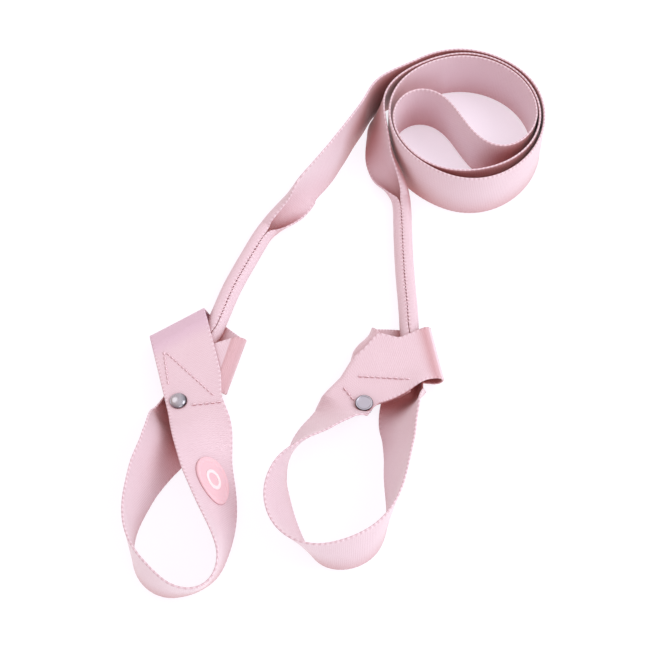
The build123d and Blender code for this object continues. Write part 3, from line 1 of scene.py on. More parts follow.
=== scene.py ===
# Webbing strap with two loops ("left" at -X, "right" at +X) joined by a round coil at +Y.
# From the coil each side runs towards -Y as a lead, curls into a sewn neck, opens into a noose
# and ends in a folded keeper with a rivet; the left keeper carries an oval badge.
# The piece lies on the floor at z = 0 with +Z up. Sizes are in millimetres unless noted.
import bpy
import bmesh
import math
import numpy as np
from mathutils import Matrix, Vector


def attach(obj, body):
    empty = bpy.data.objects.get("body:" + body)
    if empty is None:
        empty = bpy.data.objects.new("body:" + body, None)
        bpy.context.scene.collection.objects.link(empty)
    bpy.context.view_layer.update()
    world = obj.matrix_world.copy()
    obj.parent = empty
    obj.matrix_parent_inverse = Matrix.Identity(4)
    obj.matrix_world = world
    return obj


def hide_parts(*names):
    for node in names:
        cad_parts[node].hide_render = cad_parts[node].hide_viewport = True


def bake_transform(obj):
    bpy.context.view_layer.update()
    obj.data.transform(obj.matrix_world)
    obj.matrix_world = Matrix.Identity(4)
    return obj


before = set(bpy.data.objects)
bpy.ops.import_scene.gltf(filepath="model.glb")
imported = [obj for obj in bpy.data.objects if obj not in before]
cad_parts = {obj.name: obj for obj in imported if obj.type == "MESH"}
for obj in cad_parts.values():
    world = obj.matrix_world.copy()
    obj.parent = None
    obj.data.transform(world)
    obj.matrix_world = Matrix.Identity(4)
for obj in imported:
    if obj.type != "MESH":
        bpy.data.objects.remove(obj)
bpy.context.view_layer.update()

MM = 0.001              # metres in a millimetre
HALF_WIDTH = 19.0       # half the width of the webbing
THICKNESS = 1.3
MESH_STEP = 0.7         # length of one mesh row along the strap
BEAD_PITCH = 3.0        # length of one bead of the selvedge cord

# ---------------------------------------------------------------------------
# Measured paths
# Columns: centre x y z, width direction x y z, curl of the section, sideways factor, height
# factor. Left-out last columns take the values of flat webbing. Rows lie one pitch apart along
# the strap, except the last, whose distance is given to path_table.
PATH_PITCH = 4.0
FLAT = (0, 1, 1)
SEWN_L = (6.06, 0.92, 0.584)    # curl and factors of the closed neck
SEWN_R = (-6.06, 0.92, 0.584)


def path_table(rows, end):
    """Path rows with the distance along the strap in front and the flat values filled in."""
    along = [PATH_PITCH * i for i in range(len(rows) - 1)] + [end]
    return np.array([(s, *row, *FLAT[len(row) - 6:]) for s, row in zip(along, rows)])


LEFT_PATH = path_table([
(46.53,187.98,19.2,-0.0004,-0.0003,1), (42.99,185.92,19.2,0,0,1),
(39.52,183.97,19.2,0.0001,0,1), (35.96,182.01,19.2,0.0001,-0.0001,1),
(32.37,179.99,19.2,0.0003,-0.0005,1), (28.85,177.81,19.2,0.0008,-0.0011,1),
(25.47,175.4,19.2,0.0019,-0.0016,1), (22.31,172.69,19.21,0.0046,-0.0011,1),
(19.49,169.65,19.23,0.0085,0.0011,1), (17.13,166.26,19.26,0.0124,0.0041,0.9999),
(15.18,162.6,19.31,0.0151,0.0063,0.9999), (13.47,158.83,19.36,0.0168,0.0072,0.9998),
(11.75,155.11,19.42,0.0179,0.0071,0.9998), (9.9,151.51,19.47,0.0188,0.0068,0.9998),
(7.95,148,19.54,0.0192,0.0069,0.9998), (5.99,144.51,19.6,0.0176,0.0079,0.9998),
(4.07,141,19.66,0.0109,0.0107,0.9999), (2.18,137.47,19.71,-0.0009,0.0143,0.9999),
(0.28,133.95,19.75,-0.0144,0.0166,0.9998), (-1.66,130.46,19.77,-0.0274,0.0167,0.9995),
(-3.65,126.99,19.76,-0.0406,0.0148,0.9991), (-5.73,123.57,19.7,-0.0547,0.0113,0.9984),
(-7.91,120.22,19.6,-0.0695,0.0069,0.9976,0.052), (-10.22,116.97,19.44,-0.083,0.0043,0.9965,0.132),
(-12.69,113.84,19.24,-0.0905,0.0074,0.9959,0.213,1,0.999),
(-15.34,110.87,19.03,-0.0906,0.0153,0.9958,0.333,0.999,0.997),
(-18.13,108.05,18.83,-0.0888,0.0209,0.9958,0.486,0.999,0.994),
(-21.03,105.36,18.62,-0.0919,0.0194,0.9956,0.639,0.998,0.99),
(-23.99,102.77,18.39,-0.1002,0.0126,0.9949,0.851,0.996,0.983),
(-26.97,100.24,18,-0.1617,-0.037,0.9862,1.101,0.993,0.972),
(-29.94,97.73,17.09,-0.2926,-0.1392,0.946,1.395,0.99,0.957),
(-32.86,95.21,15.51,-0.3839,-0.1988,0.9017,1.868,0.983,0.928),
(-35.69,92.64,13.7,-0.4014,-0.1772,0.8986,2.356,0.975,0.892),
(-38.43,90,12.05,-0.4045,-0.1154,0.9072,2.851,0.966,0.854),
(-41.06,87.3,10.59,-0.4355,-0.0525,0.8987,3.296,0.957,0.817),
(-43.6,84.53,9.19,-0.4921,0.0052,0.8705,3.737,0.949,0.782),
(-46.06,81.7,7.79,-0.5567,0.0669,0.828,4.167,0.941,0.75),
(-48.45,78.81,6.4,-0.6179,0.1362,0.7744,4.583,0.934,0.718),
(-50.77,75.83,4.86,-0.7096,0.1587,0.6865,5.003,0.929,0.649),
(-52.98,72.71,3.55,-0.6994,0.2954,0.6508,5.473,0.924,0.585),
(-55.04,69.42,3.14,-0.7057,0.401,0.5841,5.842,0.921,0.569),
(-56.94,65.96,3.15,-0.7569,0.3883,0.5257,*SEWN_L),
(-58.68,62.37,3.15,-0.7942,0.3676,0.4838,*SEWN_L),
(-60.31,58.72,3.15,-0.8165,0.3574,0.4534,*SEWN_L),
(-61.91,55.06,3.15,-0.8284,0.3587,0.4301,*SEWN_L),
(-63.5,51.39,3.15,-0.8348,0.3661,0.4111,*SEWN_L),
(-65.12,47.73,3.15,-0.8393,0.3732,0.3954,*SEWN_L),
(-66.75,44.08,3.15,-0.8432,0.3774,0.3829,*SEWN_L),
(-68.38,40.43,3.15,-0.8469,0.3785,0.3736,*SEWN_L),
(-70.01,36.78,3.15,-0.8501,0.3774,0.3673,*SEWN_L),
(-71.63,33.12,3.15,-0.8529,0.3751,0.3632,*SEWN_L),
(-73.23,29.46,3.15,-0.8555,0.3718,0.3605,*SEWN_L),
(-74.78,25.78,3.15,-0.8653,0.3503,0.3585,*SEWN_L),
(-76.21,22.1,3.15,-0.8752,0.3269,0.3566,*SEWN_L),
(-77.54,18.41,3.15,-0.8826,0.3084,0.3547,*SEWN_L),
(-78.81,14.7,3.15,-0.8879,0.2951,0.3529,*SEWN_L),
(-80.02,10.97,3.15,-0.8911,0.2873,0.3512,*SEWN_L),
(-81.22,7.22,3.15,-0.8924,0.2853,0.3497,*SEWN_L),
(-82.43,3.46,3.15,-0.8917,0.2892,0.3481,*SEWN_L),
(-83.68,-0.33,3.15,-0.8913,0.2926,0.3462,*SEWN_L),
(-84.9,-4.14,3.15,-0.8966,0.2796,0.3433,*SEWN_L),
(-86.07,-7.96,3.15,-0.9131,0.276,0.3002,*SEWN_L),
(-87.22,-11.79,3.15,-0.9439,0.2848,0.1672,*SEWN_L),
(-88.39,-15.61,3.15,-0.9546,0.2956,0.0375,*SEWN_L),
(-89.59,-19.41,3.15,-0.9522,0.3055,0,6.001,0.92,0.579),
(-90.82,-23.2,3.15,-0.9501,0.312,0,5.764,0.922,0.563),
(-92.06,-26.97,3.15,-0.95,0.3123,0,5.528,0.923,0.55),
(-93.29,-30.75,3.15,-0.9517,0.3069,0,5.292,0.925,0.541),
(-94.5,-34.54,3.15,-0.9542,0.2991,0,5.055,0.928,0.534),
(-95.68,-38.36,3.15,-0.9563,0.2925,0,4.819,0.931,0.531),
(-96.84,-42.18,3.15,-0.9574,0.2888,0,4.582,0.934,0.53),
(-97.99,-46.01,3.15,-0.9576,0.288,0,4.346,0.938,0.533),
(-99.15,-49.84,3.15,-0.957,0.2901,0,4.109,0.942,0.539),
(-100.31,-53.67,3.15,-0.9556,0.2946,0,3.873,0.946,0.548),
(-101.5,-57.49,3.15,-0.9536,0.301,0,3.636,0.951,0.561),
(-102.72,-61.3,3.15,-0.9511,0.309,0,3.4,0.955,0.579),
(-104.01,-65.09,3,-0.9429,0.3331,0,3.129,0.96,0.619),
(-105.37,-68.87,2.7,-0.9394,0.3428,0.0009,2.858,0.965,0.688),
(-106.72,-72.57,2.66,-0.9412,0.3375,0.0129,2.587,0.97,0.769),
(-107.96,-76.14,3.35,-0.9397,0.3369,0.0595,2.316,0.975,0.845),
(-109.06,-79.54,5.02,-0.9154,0.3764,0.1425,2.044,0.98,0.903),
(-110.06,-82.84,7.34,-0.867,0.432,0.2482,1.773,0.984,0.934),
(-111.01,-86.15,9.48,-0.8119,0.4475,0.3748,1.502,0.988,0.951),
(-111.96,-89.57,11.3,-0.7422,0.4509,0.4959,1.231,0.992,0.966),
(-113.03,-93.1,12.8,-0.6618,0.4349,0.6107,0.96,0.995,0.979),
(-114.22,-96.73,13.98,-0.5791,0.4023,0.7091,0.689,0.997,0.989),
(-115.51,-100.39,14.94,-0.5026,0.368,0.7823,0.418,0.999,0.996),
(-116.87,-104.07,15.75,-0.4403,0.3385,0.8316,0.297,0.999,0.998),
(-118.28,-107.76,16.47,-0.3969,0.3084,0.8645,0.227,1,0.999),
(-119.67,-111.46,17.09,-0.3691,0.2735,0.8882,0.158,1,0.999),
(-121.02,-115.2,17.61,-0.3486,0.2354,0.9072,0.088),
(-122.29,-118.97,18.03,-0.3294,0.1929,0.9243,0.018),
(-123.47,-122.78,18.32,-0.307,0.1528,0.9394), (-124.59,-126.6,18.53,-0.2792,0.1256,0.952),
(-125.68,-130.44,18.7,-0.2489,0.1076,0.9625), (-126.74,-134.3,18.84,-0.2193,0.0904,0.9715),
(-127.71,-138.17,18.96,-0.1908,0.0726,0.9789), (-128.55,-142.08,19.06,-0.163,0.0559,0.985),
(-129.17,-146.02,19.16,-0.1357,0.0423,0.9899), (-129.52,-149.99,19.27,-0.1092,0.0326,0.9935),
(-129.56,-153.98,19.38,-0.0843,0.0262,0.9961), (-129.29,-157.96,19.49,-0.0609,0.0224,0.9979),
(-128.68,-161.9,19.61,-0.0387,0.0208,0.999), (-127.75,-165.77,19.71,-0.0174,0.0209,0.9996),
(-126.46,-169.54,19.8,0.0024,0.022,0.9998), (-124.82,-173.17,19.87,0.0195,0.023,0.9995),
(-122.81,-176.61,19.89,0.0323,0.0219,0.9992), (-120.45,-179.81,19.87,0.0402,0.0157,0.9991),
(-117.76,-182.75,19.78,0.0431,0.0017,0.9991), (-114.79,-185.4,19.63,0.0394,-0.021,0.999),
(-111.58,-187.74,19.45,0.0243,-0.0518,0.9984), (-108.15,-189.72,19.26,0.0012,-0.0945,0.9955),
(-104.51,-191.27,19.09,-0.0083,-0.1542,0.988), (-100.7,-192.3,18.9,0.011,-0.2202,0.9754),
(-96.79,-192.71,18.68,0.0481,-0.2726,0.9609), (-92.86,-192.44,18.49,0.0874,-0.3022,0.9492),
(-89.05,-191.46,18.38,0.1236,-0.3085,0.9431), (-85.53,-189.74,18.41,0.1537,-0.29,0.9446),
(-82.49,-187.29,18.58,0.1697,-0.2451,0.9545), (-80.05,-184.23,18.83,0.1625,-0.1793,0.9703),
(-78.22,-180.75,19.06,0.129,-0.1066,0.9859), (-76.95,-177.01,19.21,0.0712,-0.0491,0.9963),
(-76.16,-173.13,19.31,-0.0027,-0.024,0.9997), (-75.78,-169.17,19.41,-0.0818,-0.024,0.9964),
(-75.72,-165.19,19.53,-0.1616,-0.029,0.9864), (-75.88,-161.2,19.61,-0.2414,-0.0308,0.9699),
(-76.2,-157.21,19.65,-0.3198,-0.0321,0.947), (-76.61,-153.24,19.63,-0.3944,-0.0355,0.9183),
(-77.12,-149.27,19.56,-0.4632,-0.0422,0.8853), (-77.7,-145.31,19.44,-0.5245,-0.0516,0.8498),
(-78.37,-141.38,19.27,-0.5776,-0.0626,0.8139), (-79.11,-137.45,19.04,-0.6226,-0.074,0.779),
(-79.93,-133.55,18.76,-0.6609,-0.085,0.7457), (-80.81,-129.66,18.43,-0.6936,-0.0957,0.714),
(-81.75,-125.8,18.03,-0.7218,-0.1061,0.6839), (-82.74,-121.94,17.59,-0.7467,-0.1161,0.655),
(-83.74,-118.1,17.12,-0.7688,-0.1247,0.6272), (-84.73,-114.25,16.66,-0.7881,-0.1279,0.6021),
(-85.66,-110.39,16.23,-0.8058,-0.1225,0.5793), (-86.47,-106.49,15.88,-0.826,-0.1136,0.5521),
(-87.17,-102.56,15.6,-0.8514,-0.1072,0.5135), (-87.77,-98.62,15.38,-0.8808,-0.1048,0.4617),
(-88.31,-94.66,15.22,-0.911,-0.1059,0.3985), (-88.82,-90.69,15.11,-0.9384,-0.1106,0.3275),
(-89.32,-86.72,15.04,-0.96,-0.1192,0.2532), (-89.84,-82.76,15,-0.975,-0.133,0.178),
(-90.41,-78.8,15,-0.9853,-0.1517,0.0782), (-91.06,-74.86,15,-0.9851,-0.1712,0.0146),
(-91.78,-70.97,15,-0.9801,-0.1987,0.0006), (-92.91,-66.05,15,-0.97,-0.243,0.0011),
], end=597.0)
RIGHT_PATH = path_table([
(64.45,191.68,19.2,-0.0006,-0.0012,1), (60.63,190.29,19.2,0.0022,-0.003,1,-0.002),
(56.97,188.82,19.21,0.0044,-0.0081,1,-0.008), (53.32,187.22,19.21,0.0077,-0.0162,0.9998,-0.016),
(49.71,185.5,19.21,0.0133,-0.0267,0.9996,-0.026), (46.17,183.65,19.21,0.0225,-0.0386,0.999,-0.038),
(42.7,181.66,19.22,0.0352,-0.0516,0.998,-0.051), (39.33,179.52,19.24,0.0498,-0.0665,0.9965,-0.066),
(36.07,177.2,19.25,0.0657,-0.0837,0.9943,-0.081), (32.96,174.7,19.25,0.0842,-0.102,0.9912,-0.096),
(30.04,171.98,19.23,0.107,-0.1199,0.987,-0.112), (27.37,169.03,19.17,0.1348,-0.1349,0.9816,-0.127),
(25.01,165.82,19.07,0.1674,-0.1435,0.9754,-0.14,1,0.999),
(23.08,162.36,18.93,0.2036,-0.1394,0.9691,-0.153,1,0.999),
(21.66,158.67,18.76,0.2382,-0.1145,0.9645,-0.162,1,0.999),
(20.86,154.81,18.59,0.2614,-0.0722,0.9625,-0.168,1,0.999),
(20.67,150.86,18.42,0.2722,-0.045,0.9612,-0.186,1,0.999),
(20.97,146.91,18.13,0.2868,-0.0559,0.9564,-0.299,0.999,0.998),
(21.65,143.02,17.63,0.3123,-0.0856,0.9461,-0.467,0.999,0.995),
(22.64,139.24,16.89,0.3443,-0.1117,0.9322,-0.702,0.997,0.988),
(23.88,135.58,15.91,0.3812,-0.1354,0.9145,-0.974,0.995,0.978),
(25.24,132,14.72,0.4213,-0.1585,0.893,-1.326,0.991,0.961),
(26.66,128.42,13.37,0.4524,-0.1576,0.8778,-1.712,0.985,0.938),
(28.08,124.83,12.03,0.4722,-0.1221,0.873,-2.133,0.979,0.909),
(29.52,121.23,10.82,0.4953,-0.0773,0.8653,-2.486,0.972,0.882),
(31,117.68,9.69,0.5305,-0.0447,0.8465,-2.825,0.966,0.856),
(32.49,114.16,8.56,0.5788,-0.0244,0.8151,-3.237,0.958,0.822),
(33.9,110.65,7.4,0.6388,-0.012,0.7693,-3.679,0.95,0.787),
(35.14,107.09,6.23,0.7063,-0.0059,0.7079,-4.172,0.941,0.749),
(36.13,103.43,5.12,0.7749,-0.005,0.632,-4.641,0.934,0.715),
(36.84,99.67,4,0.8407,-0.0265,0.5408,-5.089,0.928,0.646),
(37.3,95.81,3.22,0.8875,0.0279,0.4601,-5.546,0.923,0.587),
(37.53,91.88,3.1,0.9275,0.0401,0.3716,-5.882,0.921,0.572),
(37.6,87.9,3.15,0.9538,-0.0013,0.3005,*SEWN_R), (37.54,83.91,3.15,0.9692,-0.0243,0.2452,*SEWN_R),
(37.41,79.92,3.15,0.9782,-0.0334,0.2049,*SEWN_R), (37.28,75.92,3.15,0.9839,-0.0301,0.176,*SEWN_R),
(37.18,71.93,3.15,0.9876,-0.0201,0.1556,*SEWN_R), (37.12,67.93,3.15,0.9898,-0.0098,0.1419,*SEWN_R),
(37.1,63.93,3.15,0.9911,-0.0014,0.1332,*SEWN_R), (37.11,59.93,3.15,0.9917,0.0054,0.1285,*SEWN_R),
(37.14,55.93,3.15,0.9919,0.0114,0.1269,*SEWN_R), (37.2,51.93,3.15,0.9917,0.0173,0.1276,*SEWN_R),
(37.28,47.93,3.15,0.9912,0.023,0.1303,*SEWN_R), (37.38,43.93,3.15,0.9905,0.0287,0.1344,*SEWN_R),
(37.51,39.94,3.15,0.9896,0.0343,0.1394,*SEWN_R), (37.66,35.94,3.15,0.9887,0.0398,0.1448,*SEWN_R),
(37.83,31.94,3.15,0.9877,0.0448,0.15,*SEWN_R), (38.02,27.95,3.15,0.9868,0.0489,0.1544,*SEWN_R),
(38.23,23.95,3.15,0.9862,0.0521,0.1572,*SEWN_R), (38.44,19.96,3.15,0.986,0.0534,0.1583,*SEWN_R),
(38.66,15.96,3.15,0.9861,0.052,0.1576,*SEWN_R), (38.86,11.97,3.15,0.9866,0.0473,0.1561,*SEWN_R),
(39.04,7.97,3.15,0.9872,0.0401,0.1543,*SEWN_R), (39.18,3.98,3.15,0.9878,0.0314,0.1526,*SEWN_R),
(39.29,-0.02,3.15,0.9883,0.0224,0.1507,*SEWN_R), (39.36,-4.02,3.15,0.9889,0.0138,0.1477,*SEWN_R),
(39.4,-8.02,3.15,0.9908,0.0072,0.1349,*SEWN_R), (39.42,-12.02,3.15,0.9966,0.004,0.0826,*SEWN_R),
(39.44,-16.02,3.15,0.9997,0.0046,0.0252,*SEWN_R), (39.46,-20.01,3.15,1,0.0072,0.0002,-6.046,0.92,0.583),
(39.5,-24,3.15,1,0.0095,0,-5.68,0.922,0.558), (39.54,-27.98,3.15,0.9999,0.0101,0,-5.3,0.925,0.541),
(39.57,-31.95,3.15,1,0.0086,0,-4.92,0.93,0.532), (39.6,-35.91,3.15,1,0.0054,0,-4.54,0.935,0.531),
(39.62,-39.87,3.15,1,0.0004,0,-4.16,0.941,0.537),
(39.6,-43.85,3.11,1,-0.0087,0.0029,-3.78,0.948,0.556),
(39.53,-47.84,2.82,0.9992,-0.031,0.0258,-3.402,0.955,0.606),
(39.35,-51.79,2.45,0.9939,-0.0737,0.0824,-3.07,0.961,0.677),
(38.98,-55.64,2.38,0.9741,-0.1156,0.1946,-2.741,0.968,0.76),
(38.35,-59.31,3.03,0.9308,-0.0845,0.3555,-2.411,0.974,0.839),
(37.5,-62.77,4.57,0.8743,0.0332,0.4842,-2.081,0.979,0.9),
(36.51,-66.1,6.71,0.8093,0.1311,0.5726,-1.751,0.985,0.935),
(35.45,-69.43,8.85,0.7447,0.1668,0.6463,-1.422,0.99,0.956),
(34.42,-72.85,10.91,0.6917,0.2055,0.6923,-1.092,0.994,0.973),
(33.48,-76.39,12.87,0.6411,0.2212,0.7349,-0.762,0.997,0.986),
(32.7,-80.07,14.52,0.5899,0.1872,0.7855,-0.432,0.999,0.995),
(32.1,-83.86,15.64,0.5455,0.1124,0.8305,-0.297,0.999,0.998),
(31.65,-87.74,16.3,0.5147,0.0579,0.8554,-0.227,1,0.999),
(31.26,-91.65,16.74,0.4915,0.0376,0.8701,-0.158,1,0.999),
(30.83,-95.58,17.11,0.4707,0.0248,0.8819,-0.088), (30.34,-99.51,17.46,0.4517,0.017,0.892,-0.018),
(29.81,-103.44,17.79,0.4339,0.0182,0.9008), (29.3,-107.38,18.12,0.4146,0.0208,0.9098),
(28.85,-111.34,18.4,0.3911,0.0164,0.9202), (28.45,-115.32,18.61,0.3634,0.0073,0.9316),
(28.1,-119.3,18.76,0.3326,-0.0019,0.9431), (27.77,-123.28,18.84,0.2995,-0.0098,0.954),
(27.4,-127.27,18.9,0.265,-0.0159,0.9641), (26.92,-131.24,18.94,0.2297,-0.0192,0.9731),
(26.28,-135.18,19,0.1941,-0.0199,0.9808), (25.42,-139.08,19.08,0.158,-0.0203,0.9872),
(24.31,-142.91,19.16,0.122,-0.0178,0.9924), (22.96,-146.67,19.25,0.0883,-0.008,0.9961),
(21.35,-150.32,19.36,0.057,0.0064,0.9984), (19.46,-153.83,19.49,0.0278,0.0215,0.9994),
(17.25,-157.13,19.62,0.0024,0.037,0.9993), (14.67,-160.15,19.73,-0.0171,0.0524,0.9985),
(11.73,-162.82,19.82,-0.0297,0.0653,0.9974), (8.48,-165.11,19.87,-0.0368,0.0725,0.9967),
(4.99,-167.02,19.87,-0.0409,0.0718,0.9966), (1.31,-168.54,19.82,-0.0439,0.0622,0.9971),
(-2.5,-169.66,19.71,-0.0461,0.044,0.998), (-6.42,-170.35,19.55,-0.0452,0.0177,0.9988),
(-10.38,-170.55,19.38,-0.0392,-0.0186,0.9991), (-14.32,-170.23,19.25,-0.0402,-0.0662,0.997),
(-18.17,-169.38,19.13,-0.0706,-0.1166,0.9907), (-21.85,-167.96,18.96,-0.1327,-0.1553,0.9789),
(-25.28,-166,18.7,-0.2065,-0.1773,0.9622), (-28.39,-163.56,18.38,-0.2754,-0.1873,0.9429),
(-31.16,-160.72,18.05,-0.3336,-0.1899,0.9234), (-33.61,-157.59,17.74,-0.3799,-0.1875,0.9058),
(-35.73,-154.22,17.49,-0.4145,-0.1812,0.8918), (-37.55,-150.67,17.33,-0.438,-0.1722,0.8823),
(-39.09,-146.99,17.25,-0.4508,-0.1614,0.8779), (-40.35,-143.21,17.26,-0.4535,-0.1483,0.8788),
(-41.33,-139.34,17.38,-0.446,-0.132,0.8853), (-42.01,-135.41,17.59,-0.4271,-0.1131,0.8971),
(-42.34,-131.45,17.88,-0.3953,-0.0934,0.9138), (-42.33,-127.47,18.25,-0.3492,-0.0726,0.9342),
(-41.96,-123.52,18.62,-0.2873,-0.0482,0.9566), (-41.25,-119.61,18.94,-0.2079,-0.021,0.9779),
(-40.2,-115.78,19.16,-0.1169,-0.0106,0.9931), (-38.85,-112.05,19.34,-0.0289,-0.039,0.9988),
(-37.23,-108.41,19.56,0.0511,-0.0935,0.9943), (-35.39,-104.89,19.82,0.1314,-0.148,0.9802),
(-33.33,-101.47,20.06,0.2143,-0.1966,0.9568), (-31.06,-98.2,20.21,0.2933,-0.244,0.9244),
(-28.58,-95.07,20.23,0.3604,-0.2922,0.8859), (-25.91,-92.1,20.12,0.4118,-0.3392,0.8458),
(-23.11,-89.26,19.89,0.451,-0.3794,0.8079), (-20.27,-86.46,19.59,0.4883,-0.4008,0.7752),
(-17.43,-83.66,19.24,0.5038,-0.4253,0.7519), (-14.47,-80.88,18.84,0.5209,-0.4446,0.7287),
(-11.49,-78.05,18.39,0.5559,-0.4618,0.6912), (-8.59,-75.15,17.9,0.6254,-0.4588,0.6312),
(-5.87,-72.17,16.9,0.7509,-0.4575,0.4763), (-3.5,-69.04,15.78,0.8537,-0.496,0.1587),
(-1.56,-65.68,15.11,0.8758,-0.4825,0.0091), (0.33,-62.27,15,0.8683,-0.4961,0),
(2.39,-58.92,15,0.8281,-0.5606,0), (4.78,-55.76,15,0.7539,-0.6569,0),
(7.62,-53.03,15,0.6212,-0.7837,0), (12.22,-50.1,15,0.472,-0.8816,0),
], end=573.4)

# Folded keepers, in fold order. Each group: width direction, half width along it, and the fold
# lines that share them as centre x y z, face normal x y z.
LEFT_FOLDS = [
((-0.9851,-0.1712,0.0147), 19, [(-91.05,-74.86,15,0.0145,0.0025,0.9999)]),
((-0.9816,-0.1911,0.0011), 19, [(-91.59,-71.94,15,0.0011,0.0002,1)]),
((-0.9762,-0.2167,0.0009), 19, [(-92.19,-69.06,15,0.0008,0.0002,1)]),
((-0.9678,-0.2516,0), 19, [(-92.91,-66.05,15,0,0,1)]),
((-0.8229,-0.5682,0), 20.23, [
(-105.56,-17.38,15,-0.0132,0.0191,0.9997), (-105.71,-16.8,14.97,-0.0394,0.0571,0.9976),
(-105.86,-16.23,14.92,-0.0656,0.0951,0.9933), (-106.01,-15.66,14.85,-0.0917,0.1328,0.9869),
(-106.15,-15.1,14.74,-0.1176,0.1702,0.9784), (-106.29,-14.54,14.62,-0.1432,0.2073,0.9677)]),
((-0.8483,-0.5293,-0.0133), 19.9, [
(-107.9,-8.01,12.82,-0.2074,0.3091,0.9282), (-108.02,-7.44,12.54,-0.3032,0.4651,0.8318),
(-108.11,-6.93,12.14,-0.386,0.6011,0.6998), (-108.14,-6.5,11.66,-0.4523,0.7115,0.5378),
(-108.12,-6.15,11.1,-0.4992,0.7913,0.3529), (-108.03,-5.91,10.51,-0.5248,0.8374,0.1528)]),
((-0.848,-0.5301,0.004), 20.01, [
(-106.41,-4.52,3.65,-0.5284,0.8447,-0.0852), (-106.09,-4.53,2.83,-0.4981,0.7942,-0.3481),
(-105.67,-4.71,2.1,-0.4316,0.686,-0.5857), (-105.15,-5.05,1.52,-0.3338,0.5281,-0.7808),
(-104.55,-5.5,1.1,-0.2117,0.3318,-0.9193), (-103.91,-6.02,0.88,-0.0743,0.1114,-0.991)]),
((-0.2785,-0.9604,0.0035), 20.73, [
(-72.45,-32.15,0.86,0.0722,-0.0246,-0.9971), (-72.23,-32.34,0.9,0.2207,-0.0676,-0.973),
(-72.02,-32.52,0.98,0.3638,-0.1089,-0.9251), (-71.82,-32.7,1.11,0.4981,-0.1475,-0.8545),
(-71.65,-32.87,1.26,0.6201,-0.1826,-0.763), (-71.5,-33.03,1.45,0.7269,-0.2131,-0.6528),
(-70.78,-33.96,2.75,0.8647,-0.2523,-0.4343), (-70.44,-35.22,5.37,0.9571,-0.2778,-0.0819),
(-71,-36.21,8.13,0.9219,-0.2662,0.2816), (-72.43,-36.96,10.51,0.7636,-0.2191,0.6074),
(-74.57,-37.5,12.24,0.5034,-0.1428,0.8522), (-77.19,-37.9,13.16,0.176,-0.0474,0.9832)]),
((0.25,-0.9682,0), 19, [(-111.62,-52.98,13.2,0.0006,0.0035,1)]),
]
RIGHT_FOLDS = [
((0.8693,-0.4887,0.0745), 19, [(-2.78,-67.85,15.46,-0.0303,-0.2031,-0.9787)]),
((0.8765,-0.4814,0.0002), 19, [(-0.89,-64.46,15.02,-0.0173,-0.0319,-0.9993)]),
((0.8583,-0.5131,0), 19, [(1.03,-61.05,15,0,0,-1)]),
((0.8072,-0.5903,0), 19, [(3.2,-57.76,15,0,0,-1)]),
((0.7128,-0.7013,0), 19, [(5.75,-54.72,15,0,0,-1)]),
((0.575,-0.8182,0), 19, [(8.75,-52.2,15,0,0,-1)]),
((0.4471,-0.8945,0), 19, [(12.22,-50.1,15,0,0,-1)]),
((0.2794,-0.9602,0), 19.31, [
(19.4,-46.51,15,-0.0036,-0.001,-1), (19.45,-46.48,15,-0.0107,-0.0031,-0.9999),
(19.5,-46.46,15,-0.0179,-0.0052,-0.9998), (19.55,-46.44,15,-0.025,-0.0073,-0.9997),
(19.59,-46.41,15,-0.0322,-0.0094,-0.9994), (19.64,-46.39,14.99,-0.0393,-0.0114,-0.9992)]),
((0.1841,-0.9829,0.0044), 19.76, [
(51.56,-30.43,13.42,-0.2919,-0.0589,-0.9546), (54.06,-29.04,11.72,-0.7169,-0.1373,-0.6835),
(55.38,-27.87,8.86,-0.9553,-0.18,-0.2346), (55.15,-27,5.43,-0.9451,-0.1758,0.2754),
(53.38,-26.41,2.53,-0.689,-0.1259,0.7138), (50.48,-26.03,0.94,-0.2536,-0.0432,0.9664)]),
((-0.4788,-0.8779,0.002), 20.68, [
(7.95,-22.05,0.8,0.0621,-0.0316,0.9976), (7.68,-22.03,0.84,0.1908,-0.1018,0.9763),
(7.42,-22.01,0.91,0.3154,-0.1699,0.9336), (7.16,-21.99,1.02,0.433,-0.2341,0.8705),
(6.93,-21.99,1.16,0.5411,-0.2933,0.7882), (6.71,-21.99,1.33,0.6373,-0.346,0.6885),
(5.48,-22.11,2.59,0.7721,-0.42,0.4769), (4.23,-22.72,5.23,0.8717,-0.4751,0.1204),
(3.85,-23.79,8.06,0.8491,-0.4637,-0.2529), (4.3,-25.32,10.53,0.7077,-0.3873,-0.5908),
(5.45,-27.24,12.33,0.4672,-0.2568,-0.846), (7.07,-29.4,13.3,0.1613,-0.0902,-0.9828)]),
((-0.9368,-0.3498,0), 19, [(20.63,-65.63,13.25,-0.003,-0.0007,-1)]),
]

